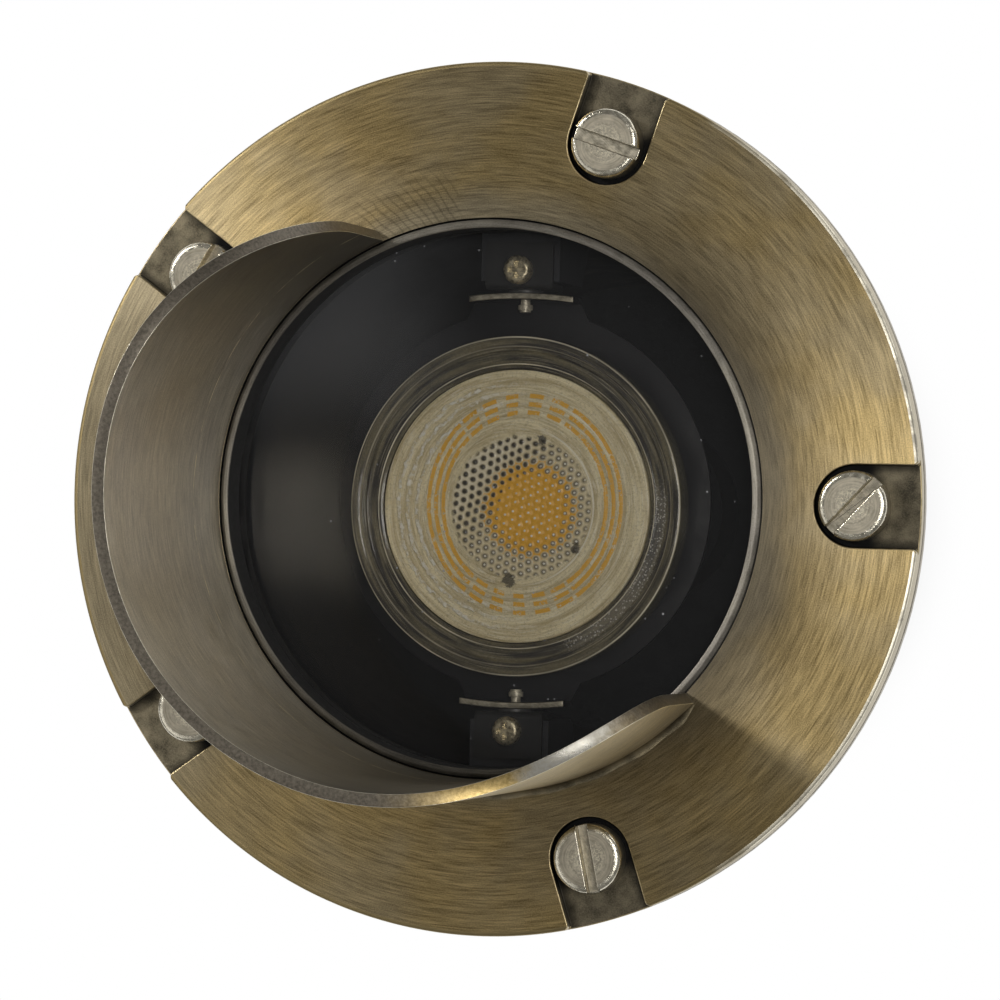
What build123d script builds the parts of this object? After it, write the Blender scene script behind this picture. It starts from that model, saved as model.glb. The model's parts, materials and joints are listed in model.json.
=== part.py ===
from build123d import *
from math import cos, radians, sin, sqrt
import os

# In-ground well light: a brass trim ring with a standing cowl, a sealed lens
# and a lamp that tilts in a cradle, all carried by a canister sunk in the ground.
# Millimetres. Z runs up the canister's axis from the middle of its foot, X points
# at one of the trim screws, and the lamp tilts about an axis along Y.

# Trim ring
face_z = 112.0  # top face of the trim ring above the foot
trim_radius = 63.5
trim_thickness = 3.6
trim_bevel = 0.35

# Trim screws and their notches
screw_count = 5
screw_shift = 1.1  # how far outside the middle of the ring's open land the screws stand
slot_turns = (47, -19, 60, -40, -78)  # how each slot was left standing, in degrees
notch_depth = 1.6
notch_half = 5.95
notch_corner = 0.8
head_radius = 5.0
head_height = 3.9
head_round = 0.5
slot_width = 1.7
slot_depth = 1.8
thread_radius = 3.0
screw_length = 16.0
screw_hole_gap = 0.3

# Cowl
cowl_step = 0.2  # the cowl's inside stands back this far from the ring's bore
cowl_wall = 1.8
cowl_height = 50.6
cowl_arc = 35.7  # radius of the mouth's edge, seen from the side
cowl_front = -8.55  # where the mouth's edge meets the ring, along the cowl's direction
cowl_turn = 216.0  # direction of the cowl's back
cowl_seat = 0.8  # how deep it is let into the ring
braze_leg = 1.1
rim_break = 0.2

# Lens ring, lens and seals
lens_radius = 41.9
lens_thickness = 3.2
lens_bevel = 0.4
lens_lap = 1.3  # how far the glass reaches under the trim ring
lip_width = 1.3
lip_proud = 0.4
lip_bevel = 0.3
lens_ring_gap = 0.1
lens_ring_flange = 1.0
seal_wall = 0.7
seal_lip = 2.5
flange_gasket_thickness = 0.5
flange_gasket_setback = 1.6
pocket_gap = 0.2

# Housing and the flange ring on top of it
flange_thickness = 1.7
flange_register = 0.5  # how far the flange's rim drops round the housing's web
web_land = 4.65  # how far the housing's web reaches past the screws' circle
web_depth = 3.7
can_wall = 3.0
can_foot_radius = 41.0
flange_break = 0.25
floor_thickness = 5.0
foot_bevel = 1.5
screw_boss_radius = 5.8
screw_boss_depth = 17.8
gusset_thickness = 5.0
gusset_drop = 22.0
insert_radius = 4.1
insert_length = 12.0
insert_sink = 0.2
entry_radius = 9.2  # thread size M20 x 1.5, drawn plain at its minor diameter
entry_length = 14.0
entry_boss_radius = 15.0
seal_plug_radius = 11.5
seal_plug_thickness = 4.0

# Tilt brackets, their screws, pins and washers
bracket_thickness = 0.9
bracket_width = 10.3
bracket_length = 7.0
bracket_room = 1.93  # from the tab's end to the canister's bore
bracket_top = 15.5  # below the ring's face
leg_length = 8.1
bend_radius = 0.9
pad_width = 12.0
pad_height = 14.0
pad_slope = 6.0
pad_gap = 0.3
bracket_screw_offset = 2.8
bracket_screw_head = 2.15
bracket_screw_height = 1.8
bracket_screw_shank = 1.25
bracket_screw_length = 6.0
cross_width = 0.75
cross_length = 2.6
cross_depth = 1.1
pivot_depth = 19.9  # tilt axis below the ring's face
pin_radius = 0.75
pin_head_radius = 1.1
pin_head_length = 0.6
pin_tail_radius = 0.8
pin_tail_length = 0.6
pivot_clearance = 0.05
washer_radius = 2.6
washer_thickness = 0.42

# Cradle
ear_setback = 5.55  # from the lamp's rim to the outside of the ears
ear_half_angle = 15.0
ear_top = 17.0  # below the ring's face
plate_margin = 3.25  # from the lamp's rim to the plate's edge
plate_thickness = 0.9
seat_width = 0.95

# Lamp
lamp_front = 16.0  # below the ring's face
lamp_shift = -0.85  # the lamp's axis lies this far along Y from the canister's
lamp_radius = 25.35
lamp_rim_height = 5.5
lamp_rim_round = 0.7
glass_wall = 1.15
lamp_neck_radius = 9.5
lamp_cup_depth = 31.0
optic_radius = 20.3
optic_step = 2.6  # slope from the rim's inner edge down to the optic
optic_thickness = 3.2
optic_dome = 0.7
optic_gap = 0.15
lens_eye_radius = 10.7
lens_eye_depth = 5.5
board_radius = 8.5
board_thickness = 1.2
board_depth = 26.6
core_radius = 8.2
base_length = 16.5
base_width = 10.5
base_height = 10.0
lamp_pin_spacing = 5.3
lamp_pin_radius = 0.75
lamp_pin_length = 7.0
socket_length = 19.0
socket_width = 12.5
socket_height = 13.0
clip_wire = 0.5
clip_opening = 60.0

# Levels and radii that follow from the sizes above
bore_radius = lens_radius - lens_lap
lip_radius = bore_radius - lip_width
cowl_radius = bore_radius + cowl_step + cowl_wall
screw_circle = (cowl_radius + trim_radius) / 2 + screw_shift
web_radius = screw_circle + web_land
trim_bottom = face_z - trim_thickness
notch_floor = face_z - notch_depth
flange_top = trim_bottom - flange_gasket_thickness
rest_z = flange_top - flange_thickness
housing_top = rest_z + flange_register
web_bottom = housing_top - web_depth
insert_top = housing_top - insert_sink
seal_top = trim_bottom - lens_ring_flange
lens_top = seal_top - seal_wall
lens_bottom = lens_top - lens_thickness
ledge_z = lens_bottom - seal_wall
seal_radius = lens_radius + seal_wall
pocket_radius = seal_radius + pocket_gap
tab_top = face_z - bracket_top
pad_top = tab_top - bracket_thickness
pivot_z = face_z - pivot_depth
ear_radius = lamp_radius + ear_setback
plate_radius = lamp_radius + plate_margin
leg_inside = ear_radius + pivot_clearance + washer_thickness
leg_outside = leg_inside + bracket_thickness
can_bore = leg_inside + bracket_length + bracket_room
bracket_screw_y = leg_inside + bracket_screw_offset
lamp_top = face_z - lamp_front
plate_top = lamp_top - lamp_rim_height
plate_bottom = plate_top - plate_thickness
plate_hole = lamp_radius - seat_width
cup_radius = plate_hole - pivot_clearance
cup_bottom = lamp_top - lamp_cup_depth
base_bottom = cup_bottom - base_height
screw_angles = [360.0 / screw_count * k for k in range(screw_count)]


def turned(points):
    """Solid turned about Z from (radius, height) points."""
    outline = Polyline(*[(radius, 0, height) for radius, height in points], close=True)
    return revolve(make_face(outline), Axis.Z)


def rod(radius, bottom, top):
    """Upright cylinder on the Z axis between two heights."""
    return Pos(0, 0, bottom) * extrude(Circle(radius), top - bottom)


def block(size_x, size_y, bottom, top):
    """Upright rectangular bar on the Z axis between two heights."""
    return Pos(0, 0, bottom) * extrude(Rectangle(size_x, size_y), top - bottom)


def along_y(radius, start, end, height):
    """Cylinder that lies along Y between two distances from the Z axis."""
    section = Plane(origin=(0, start, height), z_dir=(0, 1, 0)) * Circle(radius)
    return extrude(section, end - start)


def arc_about(centre, start, end):
    """Short arc between two points about a centre, in whatever plane they share."""
    middle = Vector(*centre)
    towards = ((Vector(*start) + Vector(*end)) * 0.5 - middle).normalized()
    radius = (Vector(*start) - middle).length
    return ThreePointArc(start, middle + towards * radius, end)


def at_screws(piece):
    """Copies of a piece drawn on the X axis, one at each trim screw."""
    return [Rot(0, 0, angle) * piece for angle in screw_angles]


def both_sides(piece):
    """A piece drawn on the +Y side, and its copy on the -Y side."""
    return [piece, Rot(0, 0, 180) * piece]


def cut_all(body, tools):
    """Body with each tool taken away in turn."""
    for tool in tools:
        body -= tool
    return body


def cowl_elevation(grow):
    """Side view of the cowl, pushed through its whole width."""
    foot = face_z - cowl_seat
    top = face_z + cowl_height
    back = cowl_radius + grow
    arc_centre = (cowl_front + cowl_arc, 0, top - cowl_arc)
    straight_top = (cowl_front, 0, top - cowl_arc)
    arc_end = (cowl_front + cowl_arc, 0, top)
    outline = [
        Line((cowl_front, 0, foot), straight_top),
        arc_about(arc_centre, straight_top, arc_end),
        Line(arc_end, (back, 0, top)),
        Line((back, 0, top), (back, 0, foot)),
        Line((back, 0, foot), (cowl_front, 0, foot)),
    ]
    return extrude(make_face(outline), back, both=True)


def cowl_foot():
    """The part of the cowl's wall that is let into the trim ring."""
    wall = rod(cowl_radius, face_z - cowl_seat, face_z)
    wall -= rod(cowl_radius - cowl_wall, face_z - cowl_seat, face_z)
    return Rot(0, 0, cowl_turn) * (wall & cowl_elevation(1.0))


def make_cowl():
    """Tube wall with an arc-cut mouth, and its braze fillet on the ring."""
    inner = cowl_radius - cowl_wall
    bottom = face_z - cowl_seat
    top = face_z + cowl_height
    wall = turned([(inner, bottom), (cowl_radius, bottom), (cowl_radius, top), (inner, top)])
    wall = wall & cowl_elevation(1.0)
    rim = [edge for edge in wall.edges() if edge.center().Z > face_z + 1.0]
    wall = chamfer(rim, rim_break)
    fillet_start = (cowl_radius, 0, face_z)
    fillet_end = (cowl_radius + braze_leg, 0, face_z)
    fillet_top = (cowl_radius, 0, face_z + braze_leg)
    fillet_centre = (cowl_radius + braze_leg, 0, face_z + braze_leg)
    section = make_face(
        [
            Line(fillet_start, fillet_end),
            arc_about(fillet_centre, fillet_end, fillet_top),
            Line(fillet_top, fillet_start),
        ]
    )
    braze = revolve(section, Axis.Z) & cowl_elevation(braze_leg + 1.0)
    return Rot(0, 0, cowl_turn) * (wall + braze)


def notch():
    """Recess for one trim screw: round inside, open and eased at the ring's rim."""
    reach = trim_radius + 2.0
    rim_x = sqrt(trim_radius**2 - (notch_half + notch_corner) ** 2)
    outline = Circle(notch_half)
    outline += Pos(-screw_circle, 0) * (
        Pos((screw_circle + reach) / 2, 0) * Rectangle(reach - screw_circle, 2 * notch_half)
    )
    ease_x = rim_x - notch_corner - screw_circle
    for side in (1, -1):
        corner = Pos(ease_x + notch_corner, side * (notch_half + notch_corner / 2))
        corner *= Rectangle(2 * notch_corner, notch_corner)
        corner -= Pos(ease_x, side * (notch_half + notch_corner)) * Circle(notch_corner)
        outline += corner
    return Pos(screw_circle, 0, notch_floor) * extrude(outline, notch_depth + 1.0)


def make_trim_ring():
    """Flat ring with bevelled rims, five screw notches and a seat for the cowl."""
    ring = turned(
        [
            (bore_radius, trim_bottom),
            (trim_radius - trim_bevel, trim_bottom),
            (trim_radius, trim_bottom + trim_bevel),
            (trim_radius, face_z - trim_bevel),
            (trim_radius - trim_bevel, face_z),
            (bore_radius, face_z),
        ]
    )
    hole = Pos(screw_circle, 0, 0) * rod(thread_radius + screw_hole_gap, trim_bottom, face_z)
    return cut_all(ring, at_screws(notch()) + at_screws(hole) + [cowl_foot()])


def make_trim_screws():
    """Slotted cheese-head screws, each standing in its notch."""
    head_top = notch_floor + head_height
    head = rod(head_radius, notch_floor, head_top)
    head = fillet(head.edges().group_by(Axis.Z)[-1], head_round)
    tip = notch_floor - screw_length
    shank = rod(thread_radius, tip, notch_floor)
    shank = chamfer(shank.edges().group_by(Axis.Z)[0], 0.2 * thread_radius)
    slot = block(3 * head_radius, slot_width, head_top - slot_depth, head_top + 1.0)
    screws = []
    for angle, turn in zip(screw_angles, slot_turns):
        screw = head + shank - Rot(0, 0, turn) * slot
        screws.append(Rot(0, 0, angle) * (Pos(screw_circle, 0, 0) * (Rot(0, 0, -angle) * screw)))
    return screws


def make_lens_ring():
    """Lip round the bore, with the flange that the trim ring presses down."""
    outside = bore_radius - lens_ring_gap
    lip_top = face_z + lip_proud
    return turned(
        [
            (lip_radius, seal_top),
            (seal_radius, seal_top),
            (seal_radius, trim_bottom),
            (outside, trim_bottom),
            (outside, lip_top - lip_bevel),
            (outside - lip_bevel, lip_top),
            (lip_radius + lip_bevel, lip_top),
            (lip_radius, lip_top - lip_bevel),
        ]
    )


def make_lens_gasket():
    """Channel seal that wraps the edge of the glass."""
    lip = seal_radius - seal_wall - seal_lip
    return turned(
        [
            (lip, seal_top),
            (seal_radius, seal_top),
            (seal_radius, ledge_z),
            (lip, ledge_z),
            (lip, lens_bottom),
            (lens_radius, lens_bottom),
            (lens_radius, lens_top),
            (lip, lens_top),
        ]
    )


def make_lens():
    """Tempered glass disc with ground edges."""
    glass = rod(lens_radius, lens_bottom, lens_top)
    return chamfer(glass.edges(), lens_bevel)


def drilled_ring(inside, outside, bottom, top):
    """Flat ring with a clearance hole for each trim screw."""
    ring = rod(outside, bottom, top) - rod(inside, bottom, top)
    hole = Pos(screw_circle, 0, 0) * rod(thread_radius + screw_hole_gap, bottom, top)
    return cut_all(ring, at_screws(hole))


def make_flange_gasket():
    """Flat seal under the trim ring, set back from the rim."""
    outside = trim_radius - flange_gasket_setback
    return drilled_ring(pocket_radius + pocket_gap, outside, flange_top, trim_bottom)


def make_housing_flange():
    """Cast ring on the canister's top; its rim drops round the web and rests on the paving."""
    rim = turned(
        [
            (web_radius + pivot_clearance, rest_z),
            (trim_radius - flange_break, rest_z),
            (trim_radius, rest_z + flange_break),
            (trim_radius, flange_top - flange_break),
            (trim_radius - flange_break, flange_top),
            (web_radius + pivot_clearance, flange_top),
        ]
    )
    outside = web_radius + pivot_clearance
    return rim + drilled_ring(pocket_radius, outside, housing_top, flange_top)


def screw_boss():
    """Boss for one threaded insert, tied to the canister by a gusset."""
    boss_bottom = housing_top - screw_boss_depth
    boss = Pos(screw_circle, 0, 0) * rod(screw_boss_radius, boss_bottom, web_bottom)
    boss = chamfer(boss.edges().group_by(Axis.Z)[0], 0.8)
    root = can_bore + can_wall / 2
    outline = Polyline(
        (root, 0, web_bottom),
        (screw_circle, 0, web_bottom),
        (screw_circle, 0, boss_bottom + 0.8),
        (root, 0, boss_bottom - gusset_drop),
        close=True,
    )
    gusset = extrude(make_face(outline), gusset_thickness / 2, both=True)
    return boss + gusset


def insert_hole():
    """Hole for a threaded insert, with room for the screw's tip below it."""
    insert_bottom = insert_top - insert_length
    tip_room = thread_radius + screw_hole_gap
    hole = rod(insert_radius, insert_bottom, housing_top)
    hole += rod(tip_room, notch_floor - screw_length - 2.0, insert_bottom)
    return Pos(screw_circle, 0, 0) * hole


def bracket_pad():
    """Pad on the canister's wall that carries one tilt bracket."""
    inside = leg_outside + pad_gap
    outline = Polyline(
        (0, inside, pad_top),
        (0, can_bore + can_wall / 2, pad_top),
        (0, can_bore + can_wall / 2, pad_top - pad_height - pad_slope),
        (0, inside, pad_top - pad_height),
        close=True,
    )
    pad = extrude(make_face(outline), pad_width / 2, both=True)
    pad -= Pos(0, bracket_screw_y, 0) * rod(
        bracket_screw_shank, tab_top - bracket_screw_length - 1.0, pad_top
    )
    return pad


def make_housing():
    """Canister with a web round its top, screw bosses, bracket pads and a threaded entry."""
    can_top_radius = can_bore + can_wall
    foot_bore = can_foot_radius - can_wall
    shell = turned(
        [
            (0, 0),
            (can_foot_radius - foot_bevel, 0),
            (can_foot_radius, foot_bevel),
            (can_top_radius, web_bottom - 4.0),
            (web_radius - 3.0, web_bottom),
            (web_radius, web_bottom + 1.2),
            (web_radius, housing_top),
            (pocket_radius, housing_top),
            (pocket_radius, ledge_z),
            (can_bore, ledge_z),
            (foot_bore, floor_thickness),
            (0, floor_thickness),
        ]
    )
    for boss in at_screws(screw_boss()):
        shell += boss
    for pad in both_sides(bracket_pad()):
        shell += pad
    entry_boss_top = entry_length + seal_plug_thickness
    shell += rod(entry_boss_radius, 0, entry_boss_top)
    entry = rod(entry_radius, 0, entry_length)
    plug_seat = rod(seal_plug_radius + pivot_clearance, entry_length, entry_boss_top)
    lens_pocket = rod(pocket_radius, ledge_z, housing_top)
    return cut_all(shell, at_screws(insert_hole()) + [entry, plug_seat, lens_pocket])


def make_threaded_inserts():
    """Brass inserts in the housing's bosses."""
    bottom = insert_top - insert_length
    insert = rod(insert_radius, bottom, insert_top)
    insert -= rod(thread_radius + pivot_clearance, bottom, insert_top)
    return at_screws(Pos(screw_circle, 0, 0) * insert)


def make_lead_seal():
    """Potted plug that closes the top of the conduit entry."""
    plug = rod(seal_plug_radius, entry_length, entry_length + seal_plug_thickness)
    return chamfer(plug.edges().group_by(Axis.Z)[-1], 0.5)


def make_tilt_bracket():
    """Angle bracket: a tab on the pad and a leg that holds the pivot pin."""
    half = bracket_width / 2
    tab_end = leg_inside + bracket_length
    leg_bottom = tab_top - leg_length
    tab_corner = leg_inside + bend_radius
    outline = make_face(
        [
            Line((0, leg_inside, leg_bottom), (0, leg_inside, tab_top - bend_radius)),
            arc_about(
                (0, tab_corner, tab_top - bend_radius),
                (0, leg_inside, tab_top - bend_radius),
                (0, tab_corner, tab_top),
            ),
            Line((0, tab_corner, tab_top), (0, tab_end, tab_top)),
            Line((0, tab_end, tab_top), (0, tab_end, pad_top)),
            Line((0, tab_end, pad_top), (0, leg_outside, pad_top)),
            Line((0, leg_outside, pad_top), (0, leg_outside, leg_bottom)),
            Line((0, leg_outside, leg_bottom), (0, leg_inside, leg_bottom)),
        ]
    )
    bracket = extrude(outline, half, both=True)
    corners = bracket.edges().filter_by(Axis.Y).group_by(Axis.Z)[0]
    bracket = fillet(corners, 2.0)
    bracket -= along_y(pin_radius, leg_inside, leg_outside, pivot_z)
    screw_hole = bracket_screw_shank + pivot_clearance
    bracket -= Pos(0, bracket_screw_y, 0) * rod(screw_hole, pad_top, tab_top)
    return bracket


def make_bracket_screws():
    """Pan-head cross-recess screws that hold the tilt brackets down."""
    head_top = tab_top + bracket_screw_height
    head = rod(bracket_screw_head, tab_top, head_top)
    head = fillet(head.edges().group_by(Axis.Z)[-1], 0.45 * bracket_screw_height)
    for turn in (0, 90):
        arm = block(cross_length, cross_width, head_top - cross_depth, head_top + 1.0)
        head -= Rot(0, 0, turn) * arm
    shank = rod(bracket_screw_shank, tab_top - bracket_screw_length, tab_top)
    return both_sides(Pos(0, bracket_screw_y, 0) * (head + shank))


def make_pivot_pins():
    """Stepped pins staked in the bracket legs, on which the cradle's ears turn."""
    ear_inside = ear_radius - plate_thickness
    head_end = ear_inside - pivot_clearance
    head_start = head_end - pin_head_length
    pin = along_y(pin_radius, head_end, leg_outside, pivot_z)
    pin += along_y(pin_head_radius, head_start, head_end, pivot_z)
    pin += along_y(pin_tail_radius, head_start - pin_tail_length, head_start, pivot_z)
    return both_sides(pin)


def make_pivot_washers():
    """Thin washers between the ears and the bracket legs."""
    start = leg_inside - washer_thickness
    washer = along_y(washer_radius, start, leg_inside, pivot_z)
    washer -= along_y(pin_radius + pivot_clearance, start, leg_inside, pivot_z)
    return both_sides(washer)


def make_cradle():
    """Ring plate under the lamp's rim, with two bent-up ears for the pins."""
    half_ear = ear_radius * sin(radians(ear_half_angle))
    ear_foot = ear_radius * cos(radians(ear_half_angle))
    inside = ear_radius - plate_thickness
    arm_root_y = plate_radius * cos(radians(19.2))
    arm_root_x = plate_radius * sin(radians(19.2))
    arm = Polyline(
        (half_ear, ear_foot),
        (arm_root_x, arm_root_y),
        (arm_root_x, 0),
        (-arm_root_x, 0),
        (-arm_root_x, arm_root_y),
        (-half_ear, ear_foot),
        close=True,
    )
    edge_ring = Circle(ear_radius) - Circle(inside)
    wedge = make_face(
        Polyline(
            (0, 0),
            (2 * half_ear, 2 * ear_foot),
            (-2 * half_ear, 2 * ear_foot),
            close=True,
        )
    )
    ear_section = edge_ring & wedge
    outline = Circle(plate_radius)
    for side in both_sides(make_face(arm)) + both_sides(ear_section):
        outline += side
    outline -= Pos(0, lamp_shift) * Circle(plate_hole)
    cradle = Pos(0, 0, plate_bottom) * extrude(outline, plate_thickness)
    ear = Pos(0, 0, plate_bottom) * extrude(ear_section, face_z - ear_top - plate_bottom)
    hole = along_y(pin_radius + pivot_clearance, inside - 1.0, ear_radius + 1.0, pivot_z)
    for piece, cut in zip(both_sides(ear), both_sides(hole)):
        cradle += piece - cut
    return cradle


def cup_outline(inset):
    """Bowl curve of the glass cup, upright under the rim and drawn in to the neck."""
    start = (cup_radius - inset, 0, plate_top)
    end = (lamp_neck_radius - inset, 0, cup_bottom)
    depth = plate_top - cup_bottom
    draw_in = cup_radius - lamp_neck_radius
    bowl_radius = (draw_in**2 + depth**2) / (2 * draw_in)
    return arc_about((cup_radius - inset - bowl_radius, 0, plate_top), start, end)


def make_lamp_body():
    """Glass cup: thick rim, a slope down to the optic and a bowl to the neck."""
    outer = cup_outline(0)
    inner = cup_outline(glass_wall)
    rim_inside = lamp_radius - glass_wall
    step_bottom = lamp_top - optic_step
    seat_radius = optic_radius + optic_gap
    shelf = seat_radius - 1.2
    optic_bottom = step_bottom - optic_thickness
    shelf_bottom = optic_bottom - 1.0
    inner_start = inner @ 0
    inner_end = inner @ 1
    wall = [
        outer,
        Line(outer @ 1, inner_end),
        inner,
        Line(inner_start, (shelf, 0, shelf_bottom - 1.0)),
        Line((shelf, 0, shelf_bottom - 1.0), (shelf, 0, optic_bottom)),
        Line((shelf, 0, optic_bottom), (seat_radius, 0, optic_bottom)),
        Line((seat_radius, 0, optic_bottom), (seat_radius, 0, step_bottom)),
        Line((seat_radius, 0, step_bottom), (rim_inside, 0, lamp_top)),
        Line((rim_inside, 0, lamp_top), (lamp_radius - lamp_rim_round, 0, lamp_top)),
        arc_about(
            (lamp_radius - lamp_rim_round, 0, lamp_top - lamp_rim_round),
            (lamp_radius - lamp_rim_round, 0, lamp_top),
            (lamp_radius, 0, lamp_top - lamp_rim_round),
        ),
        Line((lamp_radius, 0, lamp_top - lamp_rim_round), (lamp_radius, 0, plate_top)),
        Line((lamp_radius, 0, plate_top), outer @ 0),
    ]
    return revolve(make_face(wall), Axis.Z)


def make_lamp_optic():
    """Front lens: shallow dome, with a deeper eye over the LED board."""
    top = lamp_top - optic_step
    bottom = top - optic_thickness
    dome_radius = (optic_radius**2 + optic_dome**2) / (2 * optic_dome)
    dome_centre = (0, 0, top + optic_dome - dome_radius)
    eye_bottom = bottom - lens_eye_depth + optic_thickness
    outline = [
        arc_about(dome_centre, (optic_radius, 0, top), (0, 0, top + optic_dome)),
        Line((0, 0, top + optic_dome), (0, 0, eye_bottom)),
        Line((0, 0, eye_bottom), (0.8 * lens_eye_radius, 0, eye_bottom)),
        Line((0.8 * lens_eye_radius, 0, eye_bottom), (lens_eye_radius, 0, bottom)),
        Line((lens_eye_radius, 0, bottom), (optic_radius, 0, bottom)),
        Line((optic_radius, 0, bottom), (optic_radius, 0, top)),
    ]
    return revolve(make_face(outline), Axis.Z)


def make_led_board():
    """Round board with the light-emitting disc on it."""
    top = face_z - board_depth
    board = rod(board_radius, top - board_thickness, top)
    return board + rod(0.7 * board_radius, top, top + 0.4)


def make_lamp_core():
    """Heat sink and driver that fill the lamp's neck and carry the board."""
    top = face_z - board_depth - board_thickness
    return rod(core_radius, cup_bottom, top)


def make_lamp_base():
    """Two-pin base block under the glass cup."""
    base = block(base_length, base_width, base_bottom, cup_bottom)
    base = fillet(base.edges().filter_by(Axis.Z), 0.3 * base_width)
    for side in (1, -1):
        hole = rod(lamp_pin_radius, base_bottom, base_bottom + 3.0)
        base -= Pos(side * lamp_pin_spacing / 2, 0, 0) * hole
    return base


def make_lamp_pins():
    """Contact pins, set 3 mm into the base."""
    pin = rod(lamp_pin_radius, base_bottom - lamp_pin_length, base_bottom + 3.0)
    return [Pos(side * lamp_pin_spacing / 2, 0, 0) * pin for side in (1, -1)]


def make_lamp_socket():
    """Ceramic lampholder that grips the pins."""
    bottom = base_bottom - socket_height
    socket = block(socket_length, socket_width, bottom, base_bottom)
    socket = fillet(socket.edges().filter_by(Axis.Z), 2.5)
    for side in (1, -1):
        hole = rod(lamp_pin_radius + pivot_clearance, base_bottom - lamp_pin_length - 1.0, base_bottom)
        socket -= Pos(side * lamp_pin_spacing / 2, 0, 0) * hole
    for side in (1, -1):
        ear_hole = rod(1.6, bottom, base_bottom)
        socket -= Pos(side * (socket_length / 2 - 3.2), 0, 0) * ear_hole
    return socket


def make_lamp_clip():
    """Open wire ring under the plate that grips the glass cup."""
    ring_radius = cup_radius + clip_wire
    height = plate_bottom - clip_wire
    section = Plane(origin=(ring_radius, 0, height), z_dir=(0, 1, 0)) * Circle(clip_wire)
    ring = revolve(section, Axis.Z, revolution_arc=360 - clip_opening)
    return Rot(0, 0, clip_opening / 2) * ring


def seated(pieces):
    """A lamp piece, drawn on the Z axis, moved to where the cradle holds the lamp."""
    if isinstance(pieces, list):
        return [seated(piece) for piece in pieces]
    return Pos(0, lamp_shift, 0) * pieces


def write(name, pieces):
    """Save one node, made of one solid or of several alike."""
    shape = pieces if not isinstance(pieces, list) else Compound(children=pieces)
    export_step(shape, os.path.join("parts", name + ".step"))


os.makedirs("parts", exist_ok=True)
write("housing", make_housing())
write("threaded_inserts", make_threaded_inserts())
write("lead_seal", make_lead_seal())
write("housing_flange", make_housing_flange())
write("flange_gasket", make_flange_gasket())
write("trim_ring", make_trim_ring())
write("cowl", make_cowl())
write("lens_ring", make_lens_ring())
write("lens_gasket", make_lens_gasket())
write("lens", make_lens())
write("trim_screws", make_trim_screws())
for side_name, tilt_bracket in zip(("rear", "front"), both_sides(make_tilt_bracket())):
    write("tilt_bracket_" + side_name, tilt_bracket)
write("bracket_screws", make_bracket_screws())
write("pivot_pins", make_pivot_pins())
write("pivot_washers", make_pivot_washers())
write("cradle", make_cradle())
write("lamp_clip", seated(make_lamp_clip()))
write("lamp_body", seated(make_lamp_body()))
write("lamp_optic", seated(make_lamp_optic()))
write("led_board", seated(make_led_board()))
write("lamp_core", seated(make_lamp_core()))
write("lamp_base", seated(make_lamp_base()))
write("lamp_pins", seated(make_lamp_pins()))
write("lamp_socket", seated(make_lamp_socket()))
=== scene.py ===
import json
from math import acos, cos, hypot, pi, radians, sin, sqrt

import bmesh
import bpy
from mathutils import Matrix, Vector

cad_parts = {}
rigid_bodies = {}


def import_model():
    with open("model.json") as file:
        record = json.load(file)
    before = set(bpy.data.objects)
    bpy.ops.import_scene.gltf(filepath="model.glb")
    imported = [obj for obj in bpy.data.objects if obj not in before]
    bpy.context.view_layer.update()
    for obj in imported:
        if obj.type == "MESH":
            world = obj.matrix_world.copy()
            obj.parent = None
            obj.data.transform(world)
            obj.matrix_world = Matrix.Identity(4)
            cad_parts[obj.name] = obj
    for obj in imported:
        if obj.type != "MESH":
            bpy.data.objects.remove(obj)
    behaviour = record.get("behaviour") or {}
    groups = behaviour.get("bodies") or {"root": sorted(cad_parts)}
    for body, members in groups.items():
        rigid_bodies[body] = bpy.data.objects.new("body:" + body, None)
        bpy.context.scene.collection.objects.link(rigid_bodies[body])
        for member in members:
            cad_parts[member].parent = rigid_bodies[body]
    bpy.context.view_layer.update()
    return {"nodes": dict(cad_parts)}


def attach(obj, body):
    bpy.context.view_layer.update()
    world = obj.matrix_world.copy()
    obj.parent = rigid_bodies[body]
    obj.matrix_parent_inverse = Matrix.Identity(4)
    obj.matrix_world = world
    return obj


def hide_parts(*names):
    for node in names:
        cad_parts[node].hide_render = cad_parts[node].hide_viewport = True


# Looks of the in-ground well light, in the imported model's frame: Z up, +X towards one
# of the trim screws. Lengths are millimetres unless a comment says metres.

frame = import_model()
nodes = frame["nodes"]

# Trim ring and lens ring
FACE = 112.0  # top face of the trim ring above the foot
RING_RADIUS = 63.5
RING_BORE = 40.6
RING_THICKNESS = 3.6
LIP_BORE = 39.3

# Trim screws and their notches, angles in degrees
SCREW_CIRCLE = 54.15
SCREW_ANGLES = (0, 72, 144, 216, 288)
SLOT_TURNS = (47, -19, 60, -40, -78)
SLOT_WIDTH = 1.7
SLOT_DEPTH = 1.8
HEAD_RADIUS = 5.0
HEAD_HEIGHT = 3.9
THREAD_RADIUS = 3.0
SCREW_LENGTH = 16.0
NOTCH_DEPTH = 1.6
NOTCH_HALF = 5.95
NOTCH_CORNER = 0.8

# Cowl
COWL_RADIUS = 42.6
COWL_WALL = 1.8
COWL_HEIGHT = 50.6
COWL_ARC = 35.7  # radius of the mouth's edge, seen from the side
COWL_FRONT = -8.55  # where the mouth's edge meets the ring, along the cowl's direction
COWL_TURN = 216.0  # direction of the cowl's back
COWL_SEAT = 0.8  # how deep it is let into the ring
BRAZE_LEG = 1.1

# Lamp and cradle
LAMP_TOP = FACE - 16.0
LAMP_Y = -0.85  # the lamp's axis lies this far along Y from the ring's
PIVOT_HEIGHT = 92.1
EAR_HALF = 8.0
SHEET = 0.9


def mm(value):
    return value * 0.001


# ---- mesh helpers


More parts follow.
